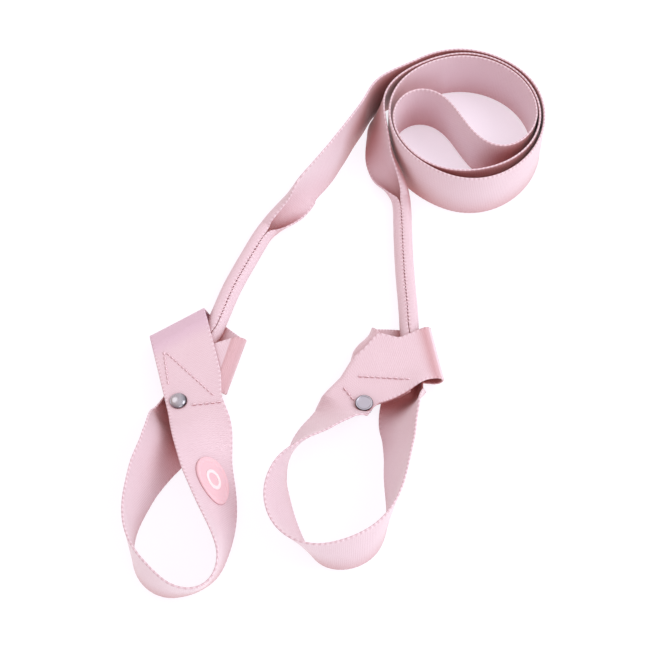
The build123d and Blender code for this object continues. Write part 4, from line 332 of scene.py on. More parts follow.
# Centre line x y of the coil, from the left lead to the right lead.
COIL = [
(46.53,187.98), (49.99,190.07), (53.6,192), (57.32,193.72), (61.12,195.17), (64.98,196.34),
(68.9,197.2), (72.85,197.75), (76.82,197.98), (80.79,197.87), (84.75,197.43), (88.66,196.69),
(92.52,195.64), (96.3,194.31), (99.98,192.72), (103.56,190.89), (107.01,188.83), (110.31,186.55),
(113.45,184.05), (116.41,181.35), (119.16,178.45), (121.67,175.35), (123.94,172.07), (125.92,168.61),
(127.62,165), (129.03,161.26), (130.14,157.42), (130.95,153.5), (131.48,149.53), (131.72,145.53),
(131.68,141.52), (131.37,137.53), (130.79,133.57), (129.95,129.65), (128.84,125.81), (127.49,122.05),
(125.88,118.39), (124.04,114.85), (121.96,111.43), (119.66,108.15), (117.14,105.04), (114.41,102.1),
(111.48,99.36), (108.36,96.85), (105.05,94.58), (101.57,92.59), (97.94,90.9), (94.17,89.54),
(90.31,88.53), (86.37,87.91), (82.4,87.67), (78.43,87.82), (74.49,88.37), (70.61,89.28),
(66.83,90.54), (63.15,92.11), (59.58,93.95), (56.13,96.02), (52.81,98.3), (49.62,100.76),
(46.58,103.39), (43.71,106.18), (41.03,109.15), (38.57,112.28), (36.34,115.58), (34.37,119.04),
(32.67,122.65), (31.25,126.39), (30.12,130.23), (29.29,134.15), (28.75,138.13), (28.51,142.14),
(28.6,146.15), (29.01,150.13), (29.76,154.05), (30.86,157.89), (32.29,161.61), (34.05,165.19),
(36.12,168.6), (38.48,171.82), (41.11,174.84), (43.97,177.63), (47.04,180.2), (50.3,182.53),
(53.72,184.62), (57.28,186.47), (60.96,188.08), (64.75,189.42), (68.61,190.5), (72.53,191.27),
(76.5,191.73), (80.48,191.85), (84.46,191.62), (88.4,191.03), (92.28,190.1), (96.07,188.82),
(99.75,187.22), (103.28,185.32), (106.64,183.14), (109.81,180.69), (112.75,177.99), (115.46,175.06),
(117.91,171.91), (120.09,168.57), (122,165.05), (123.61,161.38), (124.92,157.59), (125.89,153.69),
(126.51,149.7), (126.73,145.65), (126.52,141.58), (125.85,137.54), (124.7,133.58), (123.08,129.77),
(120.99,126.21), (118.48,122.98), (115.59,120.19), (112.38,117.93), (108.95,116.3), (105.37,115.36),
(101.75,115.17), (98.18,115.72), (94.74,116.98), (91.51,118.89), (88.52,121.35), (85.78,124.25),
(83.28,127.49), (81,130.97), (78.88,134.61), (76.85,138.33), (74.85,142.07), (72.8,145.77),
(70.62,149.35), (68.23,152.71), (65.59,155.76), (62.67,158.39), (59.47,160.48), (56.05,161.91),
(52.46,162.62), (48.83,162.54), (45.27,161.67), (41.91,160.03), (38.87,157.68), (36.26,154.74),
(34.14,151.32), (32.57,147.55), (31.58,143.56), (31.15,139.46), (31.27,135.36), (31.87,131.32),
(32.9,127.39), (34.3,123.59), (36.02,119.95), (38.04,116.46), (40.31,113.14), (42.82,110.02),
(45.57,107.12), (48.54,104.45), (51.73,102.07), (55.11,100), (58.68,98.27), (62.41,96.88),
(66.26,95.85), (70.19,95.17), (74.18,94.81), (78.19,94.78), (82.2,95.05), (86.18,95.61),
(90.11,96.44), (93.96,97.54), (97.73,98.9), (101.39,100.53), (104.92,102.41), (108.29,104.56),
(111.49,106.96), (114.47,109.61), (117.23,112.5), (119.73,115.62), (121.96,118.94), (123.9,122.44),
(125.53,126.09), (126.84,129.87), (127.84,133.74), (128.5,137.68), (128.83,141.67), (128.84,145.67),
(128.53,149.66), (127.9,153.62), (126.97,157.52), (125.75,161.33), (124.24,165.04), (122.45,168.61),
(120.38,172.03), (118.06,175.28), (115.47,178.32), (112.66,181.16), (109.62,183.77), (106.38,186.14),
(102.96,188.25), (99.39,190.09), (95.69,191.64), (91.88,192.87), (87.98,193.76), (84.04,194.3),
(80.07,194.46), (76.1,194.26), (72.16,193.71), (68.28,192.84), (64.45,191.68),
]

# A push is centre, radius, shift.
SIDES = {
    "left": dict(
        path=LEFT_PATH, folds=LEFT_FOLDS,
        lead_start=52.0, neck_start=112.0, noose_start=205.0, keeper_start=420.0, trim=9.0,
        lead_blend=(60.0, 74.0), neck_blend=(150.0, 172.0),
        keeper_blend=((-126.57, -170.93), (-89.57, -150.93)),
        seam=(167.0, 236.0),
        stitch_rows=[
            ((-115.20, -29.93, 15.78), (-111.08, -54.42, 15.78)),
            ((-113.46, -31.02, 15.78), (-82.77, -61.87, 15.78)),
            ((-96.62, -68.56, 16.22), (-77.71, -66.31, 16.20)),
        ],
        noose_pushes=[],
        keeper_pushes=[((-74.47, -62.23, 15.0), 13.0, (-3.4, 0.0, 0.0))],
    ),
    "right": dict(
        path=RIGHT_PATH, folds=RIGHT_FOLDS,
        lead_start=84.0, neck_start=112.5, noose_start=190.0, keeper_start=394.0, trim=24.0,
        lead_blend=(92.0, 106.0), neck_blend=(119.0, 139.0),
        keeper_blend=((7.43, -165.93), (-28.57, -135.93)),
        seam=(134.0, 226.0),
        stitch_rows=[
            ((5.47, -48.21, 16.20), (38.21, -50.00, 15.78)),
            ((-3.29, -55.92, 16.22), (3.22, -65.32, 16.10)),
        ],
        noose_pushes=[((48.0, -52.0, 9.0), 9.0, (-5.0, 0.5, -4.5))],
        keeper_pushes=[((47.0, -54.0, 15.0), 10.0, (0.0, 2.5, 2.6))],
    ),
}
# Pushes on the right keeper, before and after its first downward fold.
RIGHT_TOP_PUSHES = [
    ((22.5, -22.0, 15.0), 13.0, (-3.0, 8.0, 0.0)),
    ((38.0, -17.0, 15.0), 10.0, (0.0, 4.5, 1.2)),
    ((15.5, -75.0, 15.2), 8.5, (-1.5, 2.5, 0.0)),
]
RIGHT_UNDER_PUSHES = [
    ((-4.5, -43.0, 10.0), 13.0, (7.0, 0.8, 0.0)),
    ((13.0, -11.0, 10.0), 11.0, (3.0, -3.0, 0.0)),
]
# Border x y over which the right keeper droops, and a point on its level side.
DROOP_BORDER = np.array([(17.25, -13.02), (-2.69, -49.46), (-22.52, -72.1)])
DROOP_INSIDE = np.array((9.35, -67.19))
DROOP_RADIUS = 3.2
DROOP_ANGLE = 1.35      # radians


# ---------------------------------------------------------------------------
# Curves and frames


def unit(vectors):
    return vectors / np.maximum(np.linalg.norm(vectors, axis=-1, keepdims=True), 1e-12)


def smooth(x):
    x = np.clip(x, 0, 1)
    return x * x * (3 - 2 * x)


def interpolate(knots, values, at):
    """Cubic through the rows of values given at knots, read at every distance in at."""
    slope = np.gradient(values, knots, axis=0)
    i = np.clip(np.searchsorted(knots, at, side="right") - 1, 0, len(knots) - 2)
    gap = (knots[i + 1] - knots[i])[:, None]
    u = (at - knots[i])[:, None] / gap
    return (
        (2 * u**3 - 3 * u**2 + 1) * values[i]
        + (u**3 - 2 * u**2 + u) * gap * slope[i]
        + (-2 * u**3 + 3 * u**2) * values[i + 1]
        + (u**3 - u**2) * gap * slope[i + 1]
    )


def travel_along(knots, points, at, reach):
    """Unit direction of the curve, from the points a reach behind and ahead."""
    behind = interpolate(knots, points, np.clip(at - reach, knots[0], knots[-1]))
    ahead = interpolate(knots, points, np.clip(at + reach, knots[0], knots[-1]))
    return unit(ahead - behind)


def square_to(width, travel):
    """Width direction made square to the travel direction."""
    return unit(width - travel * (width * travel).sum(1, keepdims=True))


def run_at(path, at):
    """Strap run: centre, frame and section at each distance."""
    values = interpolate(path[:, 0], path[:, 1:], at)
    # taken from the whole path, so that neighbouring pieces agree
    travel = travel_along(path[:, 0], path[:, 1:4], at, reach=0.5)
    curl = values[:, 6]
    # the sewn neck closes until its two selvedges nearly touch
    curl = curl * (1 + 0.031 * smooth((np.abs(curl) - 4.6) / 1.2))
    return dict(s=at, centre=values[:, 0:3], width=square_to(unit(values[:, 3:6]), travel),
                travel=travel, curl=curl, sideways=values[:, 7], height=values[:, 8])


def path_run(path, start, end, step=MESH_STEP):
    count = max(2, int(round((end - start) / step)) + 1)
    return run_at(path, np.linspace(start, end, count))


def strip_points(run, across, offset):
    """Points of the curled strip, across its width and offset along its normal."""
    width, travel = run["width"][:, None], run["travel"][:, None]
    normal = np.cross(width, travel)
    curl = run["curl"][:, None]
    curvature = np.where(np.abs(curl) < 1e-3, 1e-3, curl) / (2 * HALF_WIDTH)
    sideways, height = run["sideways"][:, None], run["height"][:, None]
    angle = curvature * across
    out = np.sin(angle) / curvature * sideways
    rise = (1 - np.cos(angle)) / curvature * height
    tangent_out, tangent_rise = np.cos(angle) * sideways, np.sin(angle) * height
    length = np.sqrt(tangent_out**2 + tangent_rise**2)
    return (run["centre"][:, None]
            + (out - tangent_rise / length * offset)[..., None] * width
            + (rise + tangent_out / length * offset)[..., None] * normal)


# ---------------------------------------------------------------------------
# Mesh building


def band_faces(rings, reverse=False):
    """Faces between successive index rings; a ring of one point is a pole."""
    faces = []
    for lower, upper in zip(rings, rings[1:]):
        below, above = len(lower), len(upper)
        count = max(below, above)
        for j in range(count):
            k = (j + 1) % count
            corners = (lower[j % below], lower[k % below], upper[k % above], upper[j % above])
            face = list(dict.fromkeys(corners))
            faces.append([face[0], *face[:0:-1]] if reverse else face)
    return faces


def stack_rings(loops):
    """All points of the loops in one array, and the index ring of each loop."""
    ends = np.cumsum([0] + [len(loop) for loop in loops])
    return np.concatenate(loops), [list(range(a, b)) for a, b in zip(ends, ends[1:])]


def new_mesh(name, points, faces, outward=False):
    """Mesh from points in millimetres."""
    mesh = bpy.data.meshes.new(name)
    mesh.from_pydata((np.asarray(points) * MM).tolist(), [], faces)
    mesh.validate()
    mesh.update()
    if outward:
        editable = bmesh.new()
        editable.from_mesh(mesh)
        bmesh.ops.recalc_face_normals(editable, faces=editable.faces)
        editable.to_mesh(mesh)
        editable.free()
    return mesh


def add_object(mesh, material, sharp_degrees=None):
    for polygon in mesh.polygons:
        polygon.use_smooth = True
    if sharp_degrees is not None:
        mesh.set_sharp_from_angle(angle=math.radians(sharp_degrees))
    ob = bpy.data.objects.new(mesh.name, mesh)
    bpy.context.collection.objects.link(ob)
    mesh.materials.append(material)
    return ob


# Closed outline of the webbing section: flat top, round right edge, flat bottom, round left edge.
EDGE_RADIUS = 0.75
FLAT_POINTS = 25
EDGE_ANGLES = np.radians([64, 38, 12, -12, -38, -64])


def section_profile():
    """Position across, side (+1 top to -1 bottom) and edge flag of each outline point."""
    reach = HALF_WIDTH - EDGE_RADIUS
    flat = np.linspace(-reach, reach, FLAT_POINTS)
    top = [(x, 1.0, 0.0) for x in flat]
    right = [(reach + EDGE_RADIUS * math.cos(t), math.sin(t), 1.0) for t in EDGE_ANGLES]
    bottom = [(x, -1.0, 0.0) for x in flat[::-1]]
    left = [(-reach - EDGE_RADIUS * math.cos(t), -math.sin(t), 1.0) for t in EDGE_ANGLES]
    return np.array(top + right + bottom + left).T


PROFILE_ACROSS, PROFILE_SIDE, PROFILE_EDGE = section_profile()


def woven_section(s):
    """Across position, normal offset, cord weight and slow unevenness along distances s."""
    def beads(distance):
        return (np.abs(np.sin(np.pi * distance / BEAD_PITCH)) ** 0.7)[:, None]

    bead = np.where(PROFILE_ACROSS[None, :] > 0, beads(s), beads(s + 0.5 * BEAD_PITCH))
    across = PROFILE_ACROSS[None, :] * np.ones((len(s), 1))
    across = across + np.sign(across) * PROFILE_EDGE * (bead - 0.62) * 0.13
    # the selvedge cord stands a little proud, in beads
    cord = smooth((np.abs(across) - 16.9) / 1.2)
    offset = PROFILE_SIDE * (THICKNESS / 2 - 0.06) + PROFILE_SIDE * cord * (0.03 + 0.09 * bead)
    slow = (0.05 * np.sin(s * 0.21 + 1.3)[:, None] * np.cos(across * 0.17)
            + 0.035 * np.sin(s * 0.47)[:, None] * np.sin(across * 0.31 + 0.6))
    return across, offset, cord, slow * (1 - cord)


def webbing_object(name, points, s, attributes):
    """Closed tube through points (stations x outline x 3), with strap UVs and attributes."""
    shape = points.shape[:2]
    index = np.arange(shape[0] * shape[1]).reshape(shape)
    faces = band_faces(index.tolist(), reverse=True)

    # each end is closed by quads between facing outline points, from mid left edge to mid right
    def cap(row):
        row = np.roll(row, -(FLAT_POINTS + len(EDGE_ANGLES) // 2)).tolist()
        last = len(row) - 1
        return [[row[i], row[i + 1], row[last - 1 - i], row[last - i]]
                for i in range(len(row) // 2 - 1)]

    faces += cap(index[0]) + [quad[::-1] for quad in cap(index[-1])]
    mesh = new_mesh(name, points.reshape(-1, 3), faces)
    uv_layer = mesh.uv_layers.new(name="strap")
    corner_points = np.zeros(len(mesh.loops), dtype=np.int64)
    mesh.loops.foreach_get("vertex_index", corner_points)
    uv = np.stack([np.broadcast_to(s[:, None], shape),
                   np.broadcast_to(PROFILE_ACROSS[None], shape)], -1).reshape(-1, 2)
    uv_layer.data.foreach_set("uv", (uv[corner_points] * 0.01).ravel())
    for key, value in attributes.items():
        layer = mesh.attributes.new(key, "FLOAT", "POINT")
        layer.data.foreach_set("value", np.broadcast_to(value, shape).astype(np.float32).ravel())
    return add_object(mesh, WEBBING, sharp_degrees=60)


def push(points, centre, radius, shift, weight=1.0):
    """Soft push of the points round a centre."""
    near = np.exp(-((points - np.array(centre)) ** 2).sum(-1) / radius**2)
    return points + (near * weight)[..., None] * np.array(shift)


def webbing(name, run, pushes=()):
    across, offset, cord, slow = woven_section(run["s"])
    offset = offset + slow
    points = strip_points(run, across, offset)
    for centre, radius, shift in pushes:
        points = push(points, centre, radius, shift)
    return webbing_object(name, points, run["s"],
                          {"side": np.sign(offset), "edge": cord, "shade": 0.0})


# ---------------------------------------------------------------------------
# Folded keepers


def fold_run(folds):
    """Distances, centres, half-width vectors and normals of the ruled strip through the folds."""
    rows = [(line, width, half) for width, half, lines in folds for line in lines]
    line = np.array([row[0] for row in rows], float)
    centre, normal = line[:, :3], line[:, 3:]
    half_width = np.array([row[1] for row in rows]) * np.array([row[2] for row in rows])[:, None]
    gaps = np.linalg.norm(np.diff(centre, axis=0), axis=1)
    s = np.r_[0, np.cumsum(gaps)]
    at = np.unique(np.concatenate([
        np.linspace(s[i], s[i + 1], max(2, int(math.ceil(gaps[i] / MESH_STEP)) + 1))
        for i in range(len(gaps))]))
    i = np.clip(np.searchsorted(s, at, side="right") - 1, 0, len(s) - 2)
    u = ((at - s[i]) / np.maximum(s[i + 1] - s[i], 1e-9))[:, None]

    def blend(values):
        return values[i] * (1 - u) + values[i + 1] * u

    return at, blend(centre), blend(half_width), unit(blend(normal))


def droop(points, weight):
    """Bend the part of a level strip that hangs over the droop border down round it."""
    sides = []
    for start, end in zip(DROOP_BORDER, DROOP_BORDER[1:]):
        along = (end - start) / np.linalg.norm(end - start)
        outward = np.array([along[1], -along[0]])
        if (DROOP_INSIDE - start) @ outward > 0:
            outward = -outward
        sides.append(((points[..., :2] - start) @ outward, outward))
    (first, first_out), (second, second_out) = sides
    nearer = first < second
    past = np.where(nearer, first, second)
    outward = np.where(nearer[..., None], first_out, second_out)
    angle = np.clip(past / DROOP_RADIUS, 0, DROOP_ANGLE)
    rest = np.maximum(past - DROOP_RADIUS * DROOP_ANGLE, 0)
    over = past > 0
    reach = np.where(over, DROOP_RADIUS * np.sin(angle) + rest * math.cos(DROOP_ANGLE), past)
    drop = np.where(
        over, DROOP_RADIUS * (1 - np.cos(angle)) + rest * math.sin(DROOP_ANGLE), 0.0)
    weight = weight[:, None]
    bent = points.copy()
    bent[..., :2] += (reach - past)[..., None] * outward * weight[..., None]
    bent[..., 2] -= drop * weight
    return bent


def keeper(name, run, folds, pushes, is_left):
    """One mesh: a strip run followed by its folded keeper run."""
    fold_s, centre, half_width, normal = (values[1:] for values in fold_run(folds))
    joint = len(run["s"])
    s = np.r_[run["s"], run["s"][-1] + fold_s]
    count = len(s)
    station = np.arange(count)

    def first_below(z):
        return joint + int(np.argmax(centre[:, 2] < z))

    across, offset, cord, slow = woven_section(s)
    # the folded part and the last rows before it are even
    offset = offset + slow * (station < joint - 30)[:, None]
    strip = strip_points(run, across[:joint], offset[:joint])
    # the fold's face normal and the strip's normal point opposite or equal ways
    facing = 1.0 if np.cross(run["width"][-1], run["travel"][-1]) @ normal[0] > 0 else -1.0
    folded = (centre[:, None] + half_width[:, None] * (across[joint:] / HALF_WIDTH)[..., None]
              + (offset[joint:] * facing)[..., None] * normal[:, None])
    points = np.concatenate([strip, folded])

    if not is_left:
        down = first_below(14.0)
        top = 1 - smooth((s - (s[down] - 16.0)) / 14.0)
        top[down:] = 0
        for centre_, radius, shift in RIGHT_TOP_PUSHES:
            points = push(points, centre_, radius, shift, top[:, None])
        for centre_, radius, shift in RIGHT_UNDER_PUSHES:
            points = push(points, centre_, radius, shift, (1 - top)[:, None])
        points = droop(points, smooth((s - (s[joint] - 22.0)) / 14.0) * top)
    for centre_, radius, shift in pushes:
        raised = smooth((points[..., 2] - 4.0) / 8.0)
        points = push(points, centre_, radius, shift, raised)

    # colour weights, both painted light: a painted lilac reflection on the bend before the fold, and
    # painted shade darkening the turned-under part
    bend = first_below(14.9)
    bend_reflection = np.zeros(count)
    shade = np.zeros(count)
    after_lowest = np.arange(len(centre)) > int(np.argmin(centre[:, 2])) - 4
    if is_left:
        bend_reflection = 0.5 * smooth((s - (s[bend] - 13.0)) / 13.0)
        bend_reflection[bend + 40:] = 0
        shade[joint:] = np.where((centre[:, 0] > -79.0) & after_lowest, 0.42, 0.0)
    else:
        shade[joint:] = np.where((centre[:, 0] < 9.0) & after_lowest, 0.16, 0.0)
        # painted shade in a band along the right keeper's bend
        bend_shade = 0.5 * np.exp(-(((s - (s[bend] + 33.5)) / 4.5) ** 2))
        shade += bend_shade * (station < first_below(12.0))
    return webbing_object(name, points, s, {
        "side": np.sign(offset), "edge": cord, "shade": shade[:, None], "bend_reflection": bend_reflection[:, None]})


# ---------------------------------------------------------------------------
# Materials


def srgb(*channels):
    """Linear colour from 0-255 sRGB channels."""
    scaled = [c / 255 for c in channels]
    return (*(c / 12.92 if c <= 0.04045 else ((c + 0.055) / 1.055) ** 2.4 for c in scaled), 1.0)


def fill_inputs(links, sockets, values):
    """Set sockets by key, linking those whose value is another socket."""
    for key, value in values.items():
        if isinstance(value, bpy.types.NodeSocket):
            links.new(value, sockets[key])
        else:
            sockets[key].default_value = value


class Nodes:
    """Short calls for adding nodes to a tree."""

    def __init__(self, tree):
        self.tree = tree

    def fill(self, node, values):
        fill_inputs(self.tree.links, node.inputs, values)

    def add(self, kind, inputs=None, **settings):
        node = self.tree.nodes.new(kind)
        for key, value in settings.items():
            setattr(node, key, value)
        self.fill(node, inputs or {})
        return node

    def math(self, operation, *values, clamp=False):
        node = self.add("ShaderNodeMath", dict(enumerate(values)), operation=operation,
                        use_clamp=clamp)
        return node.outputs[0]

    def mix(self, factor, a, b, mode="MIX"):
        # sockets 6 and 7 are the two colours
        node = self.add("ShaderNodeMix", data_type="RGBA", blend_type=mode)
        self.fill(node, {"Factor": factor, 6: a, 7: b})
        return node.outputs[2]

    def noise(self, vector, **inputs):
        values = {key.capitalize(): value for key, value in inputs.items()}
        return self.add("ShaderNodeTexNoise", {"Vector": vector, **values}).outputs["Fac"]

    def combine(self, x, y):
        return self.add("ShaderNodeCombineXYZ", {0: x, 1: y}).outputs[0]

    def separate(self, vector):
        return self.add("ShaderNodeSeparateXYZ", {0: vector}).outputs

    def attribute(self, name):
        return self.add("ShaderNodeAttribute", attribute_name=name).outputs["Fac"]

    def wave(self, distance, period):
        """Sine wave between 0 and 1."""
        sine = self.math("SINE", self.math("MULTIPLY", distance, 2 * math.pi / period))
        return self.math("MULTIPLY_ADD", sine, 0.5, 0.5)

    def bump(self, height, strength, distance):
        return self.add("ShaderNodeBump", {
            "Strength": strength, "Distance": distance, "Height": height}).outputs[0]

    def object_position(self):
        return self.add("ShaderNodeTexCoord").outputs["Object"]


def new_material(name):
    """Material with an empty Principled surface: material, nodes, surface."""
    material = bpy.data.materials.new(name)
    material.use_nodes = True
    material.node_tree.nodes.clear()
    nodes = Nodes(material.node_tree)
    output = nodes.add("ShaderNodeOutputMaterial")
    surface = nodes.add("ShaderNodeBsdfPrincipled")
    nodes.fill(output, {0: surface.outputs[0]})
    return material, nodes, surface


def webbing_material(name, light, mid, deep):
    material, nodes, surface = new_material(name)
    uv = nodes.separate(nodes.add("ShaderNodeUVMap", uv_map="strap").outputs[0])
    along = nodes.math("MULTIPLY", uv[0], 100.0)    # millimetres
    across = nodes.math("MULTIPLY", uv[1], 100.0)
    position = nodes.combine(along, across)

    # weft ribs across the strap, slightly wavering
    waver = nodes.noise(position, scale=0.35, detail=2.0)
    waver = nodes.math("MULTIPLY", nodes.math("SUBTRACT", waver, 0.5), 0.5)
    ribs = nodes.wave(nodes.math("ADD", along, waver), period=1.15)
    # fine warp threads and their twill crossing
    warp = nodes.wave(across, period=0.62)
    twill = nodes.wave(nodes.math("ADD", nodes.math("MULTIPLY", along, 0.9),
                                  nodes.math("MULTIPLY", across, 0.62)), period=1.25)
    bead = nodes.wave(along, period=BEAD_PITCH)
    patches = nodes.noise(position, scale=0.045, detail=3.0)
    streaks = nodes.combine(nodes.math("MULTIPLY", along, 1.0),
                            nodes.math("MULTIPLY", across, 0.16))
    fleck = nodes.noise(streaks, scale=2.2, detail=4.0)

    # colour: ribs, light patches, dark flecks, twill, then the beaded selvedge
    base = nodes.mix(nodes.math("MULTIPLY", ribs, 0.55), mid, light)
    base = nodes.mix(nodes.math("MULTIPLY_ADD", patches, 0.5, -0.1, clamp=True), base, light)
    fleck_weight = nodes.math("MULTIPLY", nodes.math("SUBTRACT", fleck, 0.45), 0.55, clamp=True)
    base = nodes.mix(fleck_weight, base, deep)
    base = nodes.mix(nodes.math("MULTIPLY", twill, 0.15), base, deep)
    pale = (*(min(c * gain, 1) for c, gain in zip(light, (1.08, 1.12, 1.12))), 1)
    edge = nodes.math("MULTIPLY", nodes.attribute("edge"), 0.38)
    base = nodes.mix(edge, base, nodes.mix(bead, deep, pale))
    # painted shade: darker and redder in the hollows, from ambient occlusion, and where the shade
    # attribute asks for it
    dark = nodes.mix(1.0, base, srgb(204, 126, 118), "MULTIPLY")
    occlusion = nodes.add("ShaderNodeAmbientOcclusion", {"Distance": 0.03}, samples=8)
    hollow_shade = nodes.math("SUBTRACT", 1.0, occlusion.outputs["AO"], clamp=True)
    hollow_shade = nodes.math("MULTIPLY_ADD", hollow_shade, 1.75, -0.34, clamp=True)
    hollow_shade = nodes.math("MAXIMUM", hollow_shade, nodes.attribute("shade"))
    base = nodes.mix(hollow_shade, base, dark)
    # painted lilac reflection on the bend before the left keeper's fold
    base = nodes.mix(nodes.attribute("bend_reflection"), base, srgb(204, 172, 194))

    height = nodes.math("MULTIPLY", ribs, 0.6)
    for layer, weight in ((warp, 0.22), (fleck, 0.3), (twill, 0.4)):
        height = nodes.math("MULTIPLY_ADD", layer, weight, height)
    nodes.fill(surface, {
        "Base Color": base,
        "Roughness": nodes.math("MULTIPLY_ADD", fleck, 0.22, 0.36),
        "Specular IOR Level": 0.5,
        "Sheen Weight": 0.5,
        "Sheen Roughness": 0.45,
        "Sheen Tint": (1.0, 0.93, 0.93, 1),
        "Anisotropic": 0.35,
        "Normal": nodes.bump(height, strength=0.55, distance=0.00012),
    })
    return material


def thread_material(name, light, dark):
    material, nodes, surface = new_material(name)
    twist = nodes.add(
        "ShaderNodeTexWave",
        {"Scale": 1400.0, "Distortion": 1.0, "Vector": nodes.object_position()},
        wave_type="BANDS", bands_direction="DIAGONAL").outputs["Fac"]
    nodes.fill(surface, {
        "Base Color": nodes.mix(twist, dark, light),
        "Roughness": 0.55,
        "Sheen Weight": 0.4,
        "Normal": nodes.bump(twist, strength=0.5, distance=0.0001),
    })
    return material


def facing_right_or_front(nodes, normal):
    """Weight of the painted dark reflection, on faces turned to +X or -Y."""
    right = nodes.math("MULTIPLY_ADD", normal[0], 1.9, -0.25, clamp=True)
    front = nodes.math("MULTIPLY_ADD", normal[1], -1.2, -0.35, clamp=True)
    return nodes.math("MAXIMUM", right, front)


def tilted_from_up(nodes, normal):
    """Weight of the painted dark reflection, on faces that tilt away from +Z."""
    return nodes.math("MULTIPLY", nodes.math("SUBTRACT", 1.0, normal[2]), 7.0, clamp=True)


def metal_material(name, colour, roughness, dark_reflection_weight):
    """Metal with a painted dark reflection where the given weight, a function of the normal, says so.
    """
    material, nodes, surface = new_material(name)
    position = nodes.object_position()
    grain = nodes.noise(position, scale=900.0, detail=5.0)
    patches = nodes.noise(position, scale=160.0)
    darker = (*(c * 0.72 for c in colour[:3]), 1)
    base = nodes.mix(nodes.math("MULTIPLY", patches, 0.5), colour, darker)
    normal = nodes.separate(nodes.add("ShaderNodeNewGeometry").outputs["Normal"])
    nodes.fill(surface, {
        "Metallic": 1.0,
        # painted dark reflection on the faces that the weight picks
        "Base Color": nodes.mix(dark_reflection_weight(nodes, normal), base, srgb(74, 66, 70)),
        "Roughness": nodes.math("MULTIPLY_ADD", grain, 0.18, roughness - 0.08),
        "Normal": nodes.bump(grain, strength=0.12, distance=0.00005),
    })
    return material


def rubber_material(name, light, dark):
    material, nodes, surface = new_material(name)
    position = nodes.object_position()
    grain = nodes.noise(position, scale=1600.0, detail=6.0)
    patches = nodes.noise(position, scale=90.0)
    nodes.fill(surface, {
        "Base Color": nodes.mix(nodes.math("MULTIPLY", patches, 0.6), light, dark),
        "Roughness": nodes.math("MULTIPLY_ADD", grain, 0.2, 0.42),
        "Subsurface Weight": 0.12,
        "Subsurface Radius": (0.002, 0.0008, 0.0006),
        "Normal": nodes.bump(grain, strength=0.25, distance=0.00006),
    })
    return material


WEBBING = webbing_material("webbing_satin", light=srgb(232, 214, 220), mid=srgb(219, 193, 201),
                           deep=srgb(190, 148, 156))
THREAD = thread_material("thread_pink", light=srgb(246, 224, 230), dark=srgb(226, 190, 200))
NICKEL = metal_material("rivet_nickel", srgb(196, 196, 202), roughness=0.2,
                        dark_reflection_weight=facing_right_or_front)
SATIN = metal_material("rivet_satin", srgb(206, 206, 216), roughness=0.3,
                       dark_reflection_weight=tilted_from_up)
RUBBER = rubber_material("badge_rubber", light=srgb(236, 200, 207), dark=srgb(226, 184, 191))
RING_RUBBER = rubber_material("badge_ring_rubber", light=srgb(250, 236, 236),
                              dark=srgb(240, 220, 220))


# ---------------------------------------------------------------------------
# Webbing pieces


def reversed_run(run):
    """The same run travelled the other way, with distances counted below zero."""
    back = {key: values[::-1] for key, values in run.items()}
    for key in ("s", "travel", "curl"):
        back[key] = -back[key]
    return back


def coil_centre_run():
    """Run of the coil proper, standing on edge."""
    points = np.array(COIL)
    knots = np.r_[0, np.cumsum(np.linalg.norm(np.diff(points, axis=0), axis=1))]
    at = np.linspace(0, knots[-1], int(knots[-1] / MESH_STEP) + 1)
    count = len(at)
    return dict(
        s=at,
        centre=np.c_[interpolate(knots, points, at), np.full(count, HALF_WIDTH)],
        width=np.tile([0, 0, 1.0], (count, 1)),
        travel=np.c_[travel_along(knots, points, at, reach=0.6), np.zeros(count)],
        curl=np.zeros(count), sideways=np.ones(count), height=np.ones(count))


def coil_run():
    """The coil with the first part of both leads joined on."""
    before = reversed_run(path_run(LEFT_PATH, 0.0, SIDES["left"]["lead_start"]))
    coil = coil_centre_run()
    after = path_run(RIGHT_PATH, 0.0, SIDES["right"]["lead_start"])
    after["s"] = coil["s"][-1] + after["s"]
    run = {key: np.concatenate([before[key][:-1], coil[key], after[key][1:]]) for key in coil}
    # smooth the direction field over the two joins
    travel = run["travel"]
    for _ in range(12):
        travel[1:-1] = 0.25 * travel[:-2] + 0.5 * travel[1:-1] + 0.25 * travel[2:]
    run["travel"] = unit(travel)
    run["width"] = square_to(run["width"], run["travel"])
    return run


coil = webbing("coil_webbing", coil_run())
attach(coil, "coil")
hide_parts("coil_strap", "left_exit_strap", "right_exit_strap")


def blend_on_path(ob):
    """Bake the object's transform into its mesh."""
    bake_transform(ob)


for side, spec in SIDES.items():
    path = spec["path"]
    ob = webbing(side + "_lead_webbing", path_run(path, spec["lead_start"], spec["neck_start"]))
    blend_on_path(ob)
    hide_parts(side + "_lead_strap")

    ob = webbing(side + "_neck_webbing", path_run(path, spec["neck_start"], spec["noose_start"]))
    blend_on_path(ob)
    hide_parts(side + "_neck_tube")

    ob = webbing(side + "_noose_webbing",
                 path_run(path, spec["noose_start"], spec["keeper_start"]), spec["noose_pushes"])
    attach(ob, side + "_neck")
    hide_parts(side + "_noose_return")

    run = path_run(path, spec["keeper_start"], path[-1, 0] - spec["trim"])
    ob = keeper(side + "_keeper_webbing", run, spec["folds"], spec["keeper_pushes"],
                is_left=side == "left")
    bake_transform(ob)
    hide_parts(side + "_noose_front", side + "_keeper_fold")


# ---------------------------------------------------------------------------
# Stitches
THREAD_SIDES = 7
KEEPER_STITCH_PITCH = 3.3
SEAM_STITCH_PITCH = 2.5
SEAM_STITCH_LENGTH = 1.7    # along the seam
SEAM_REACH = 18.0           # where a seam stitch enters, from the middle of the webbing


def thread_rings(path, radius):
    """Rings of a round thread along a path, pinched at both ends."""
    travel = unit(np.gradient(path, axis=0))
    first = unit(np.cross(travel, np.array([0.31, 0.2, 0.93])))
    second = np.cross(travel, first)
    angle = (np.arange(THREAD_SIDES) * 2 * math.pi / THREAD_SIDES)[None, :, None]
    taper = np.ones(len(path))
    taper[0] = taper[-1] = 0.45
    around = np.cos(angle) * first[:, None] + np.sin(angle) * second[:, None]
    return path[:, None] + radius * taper[:, None, None] * around


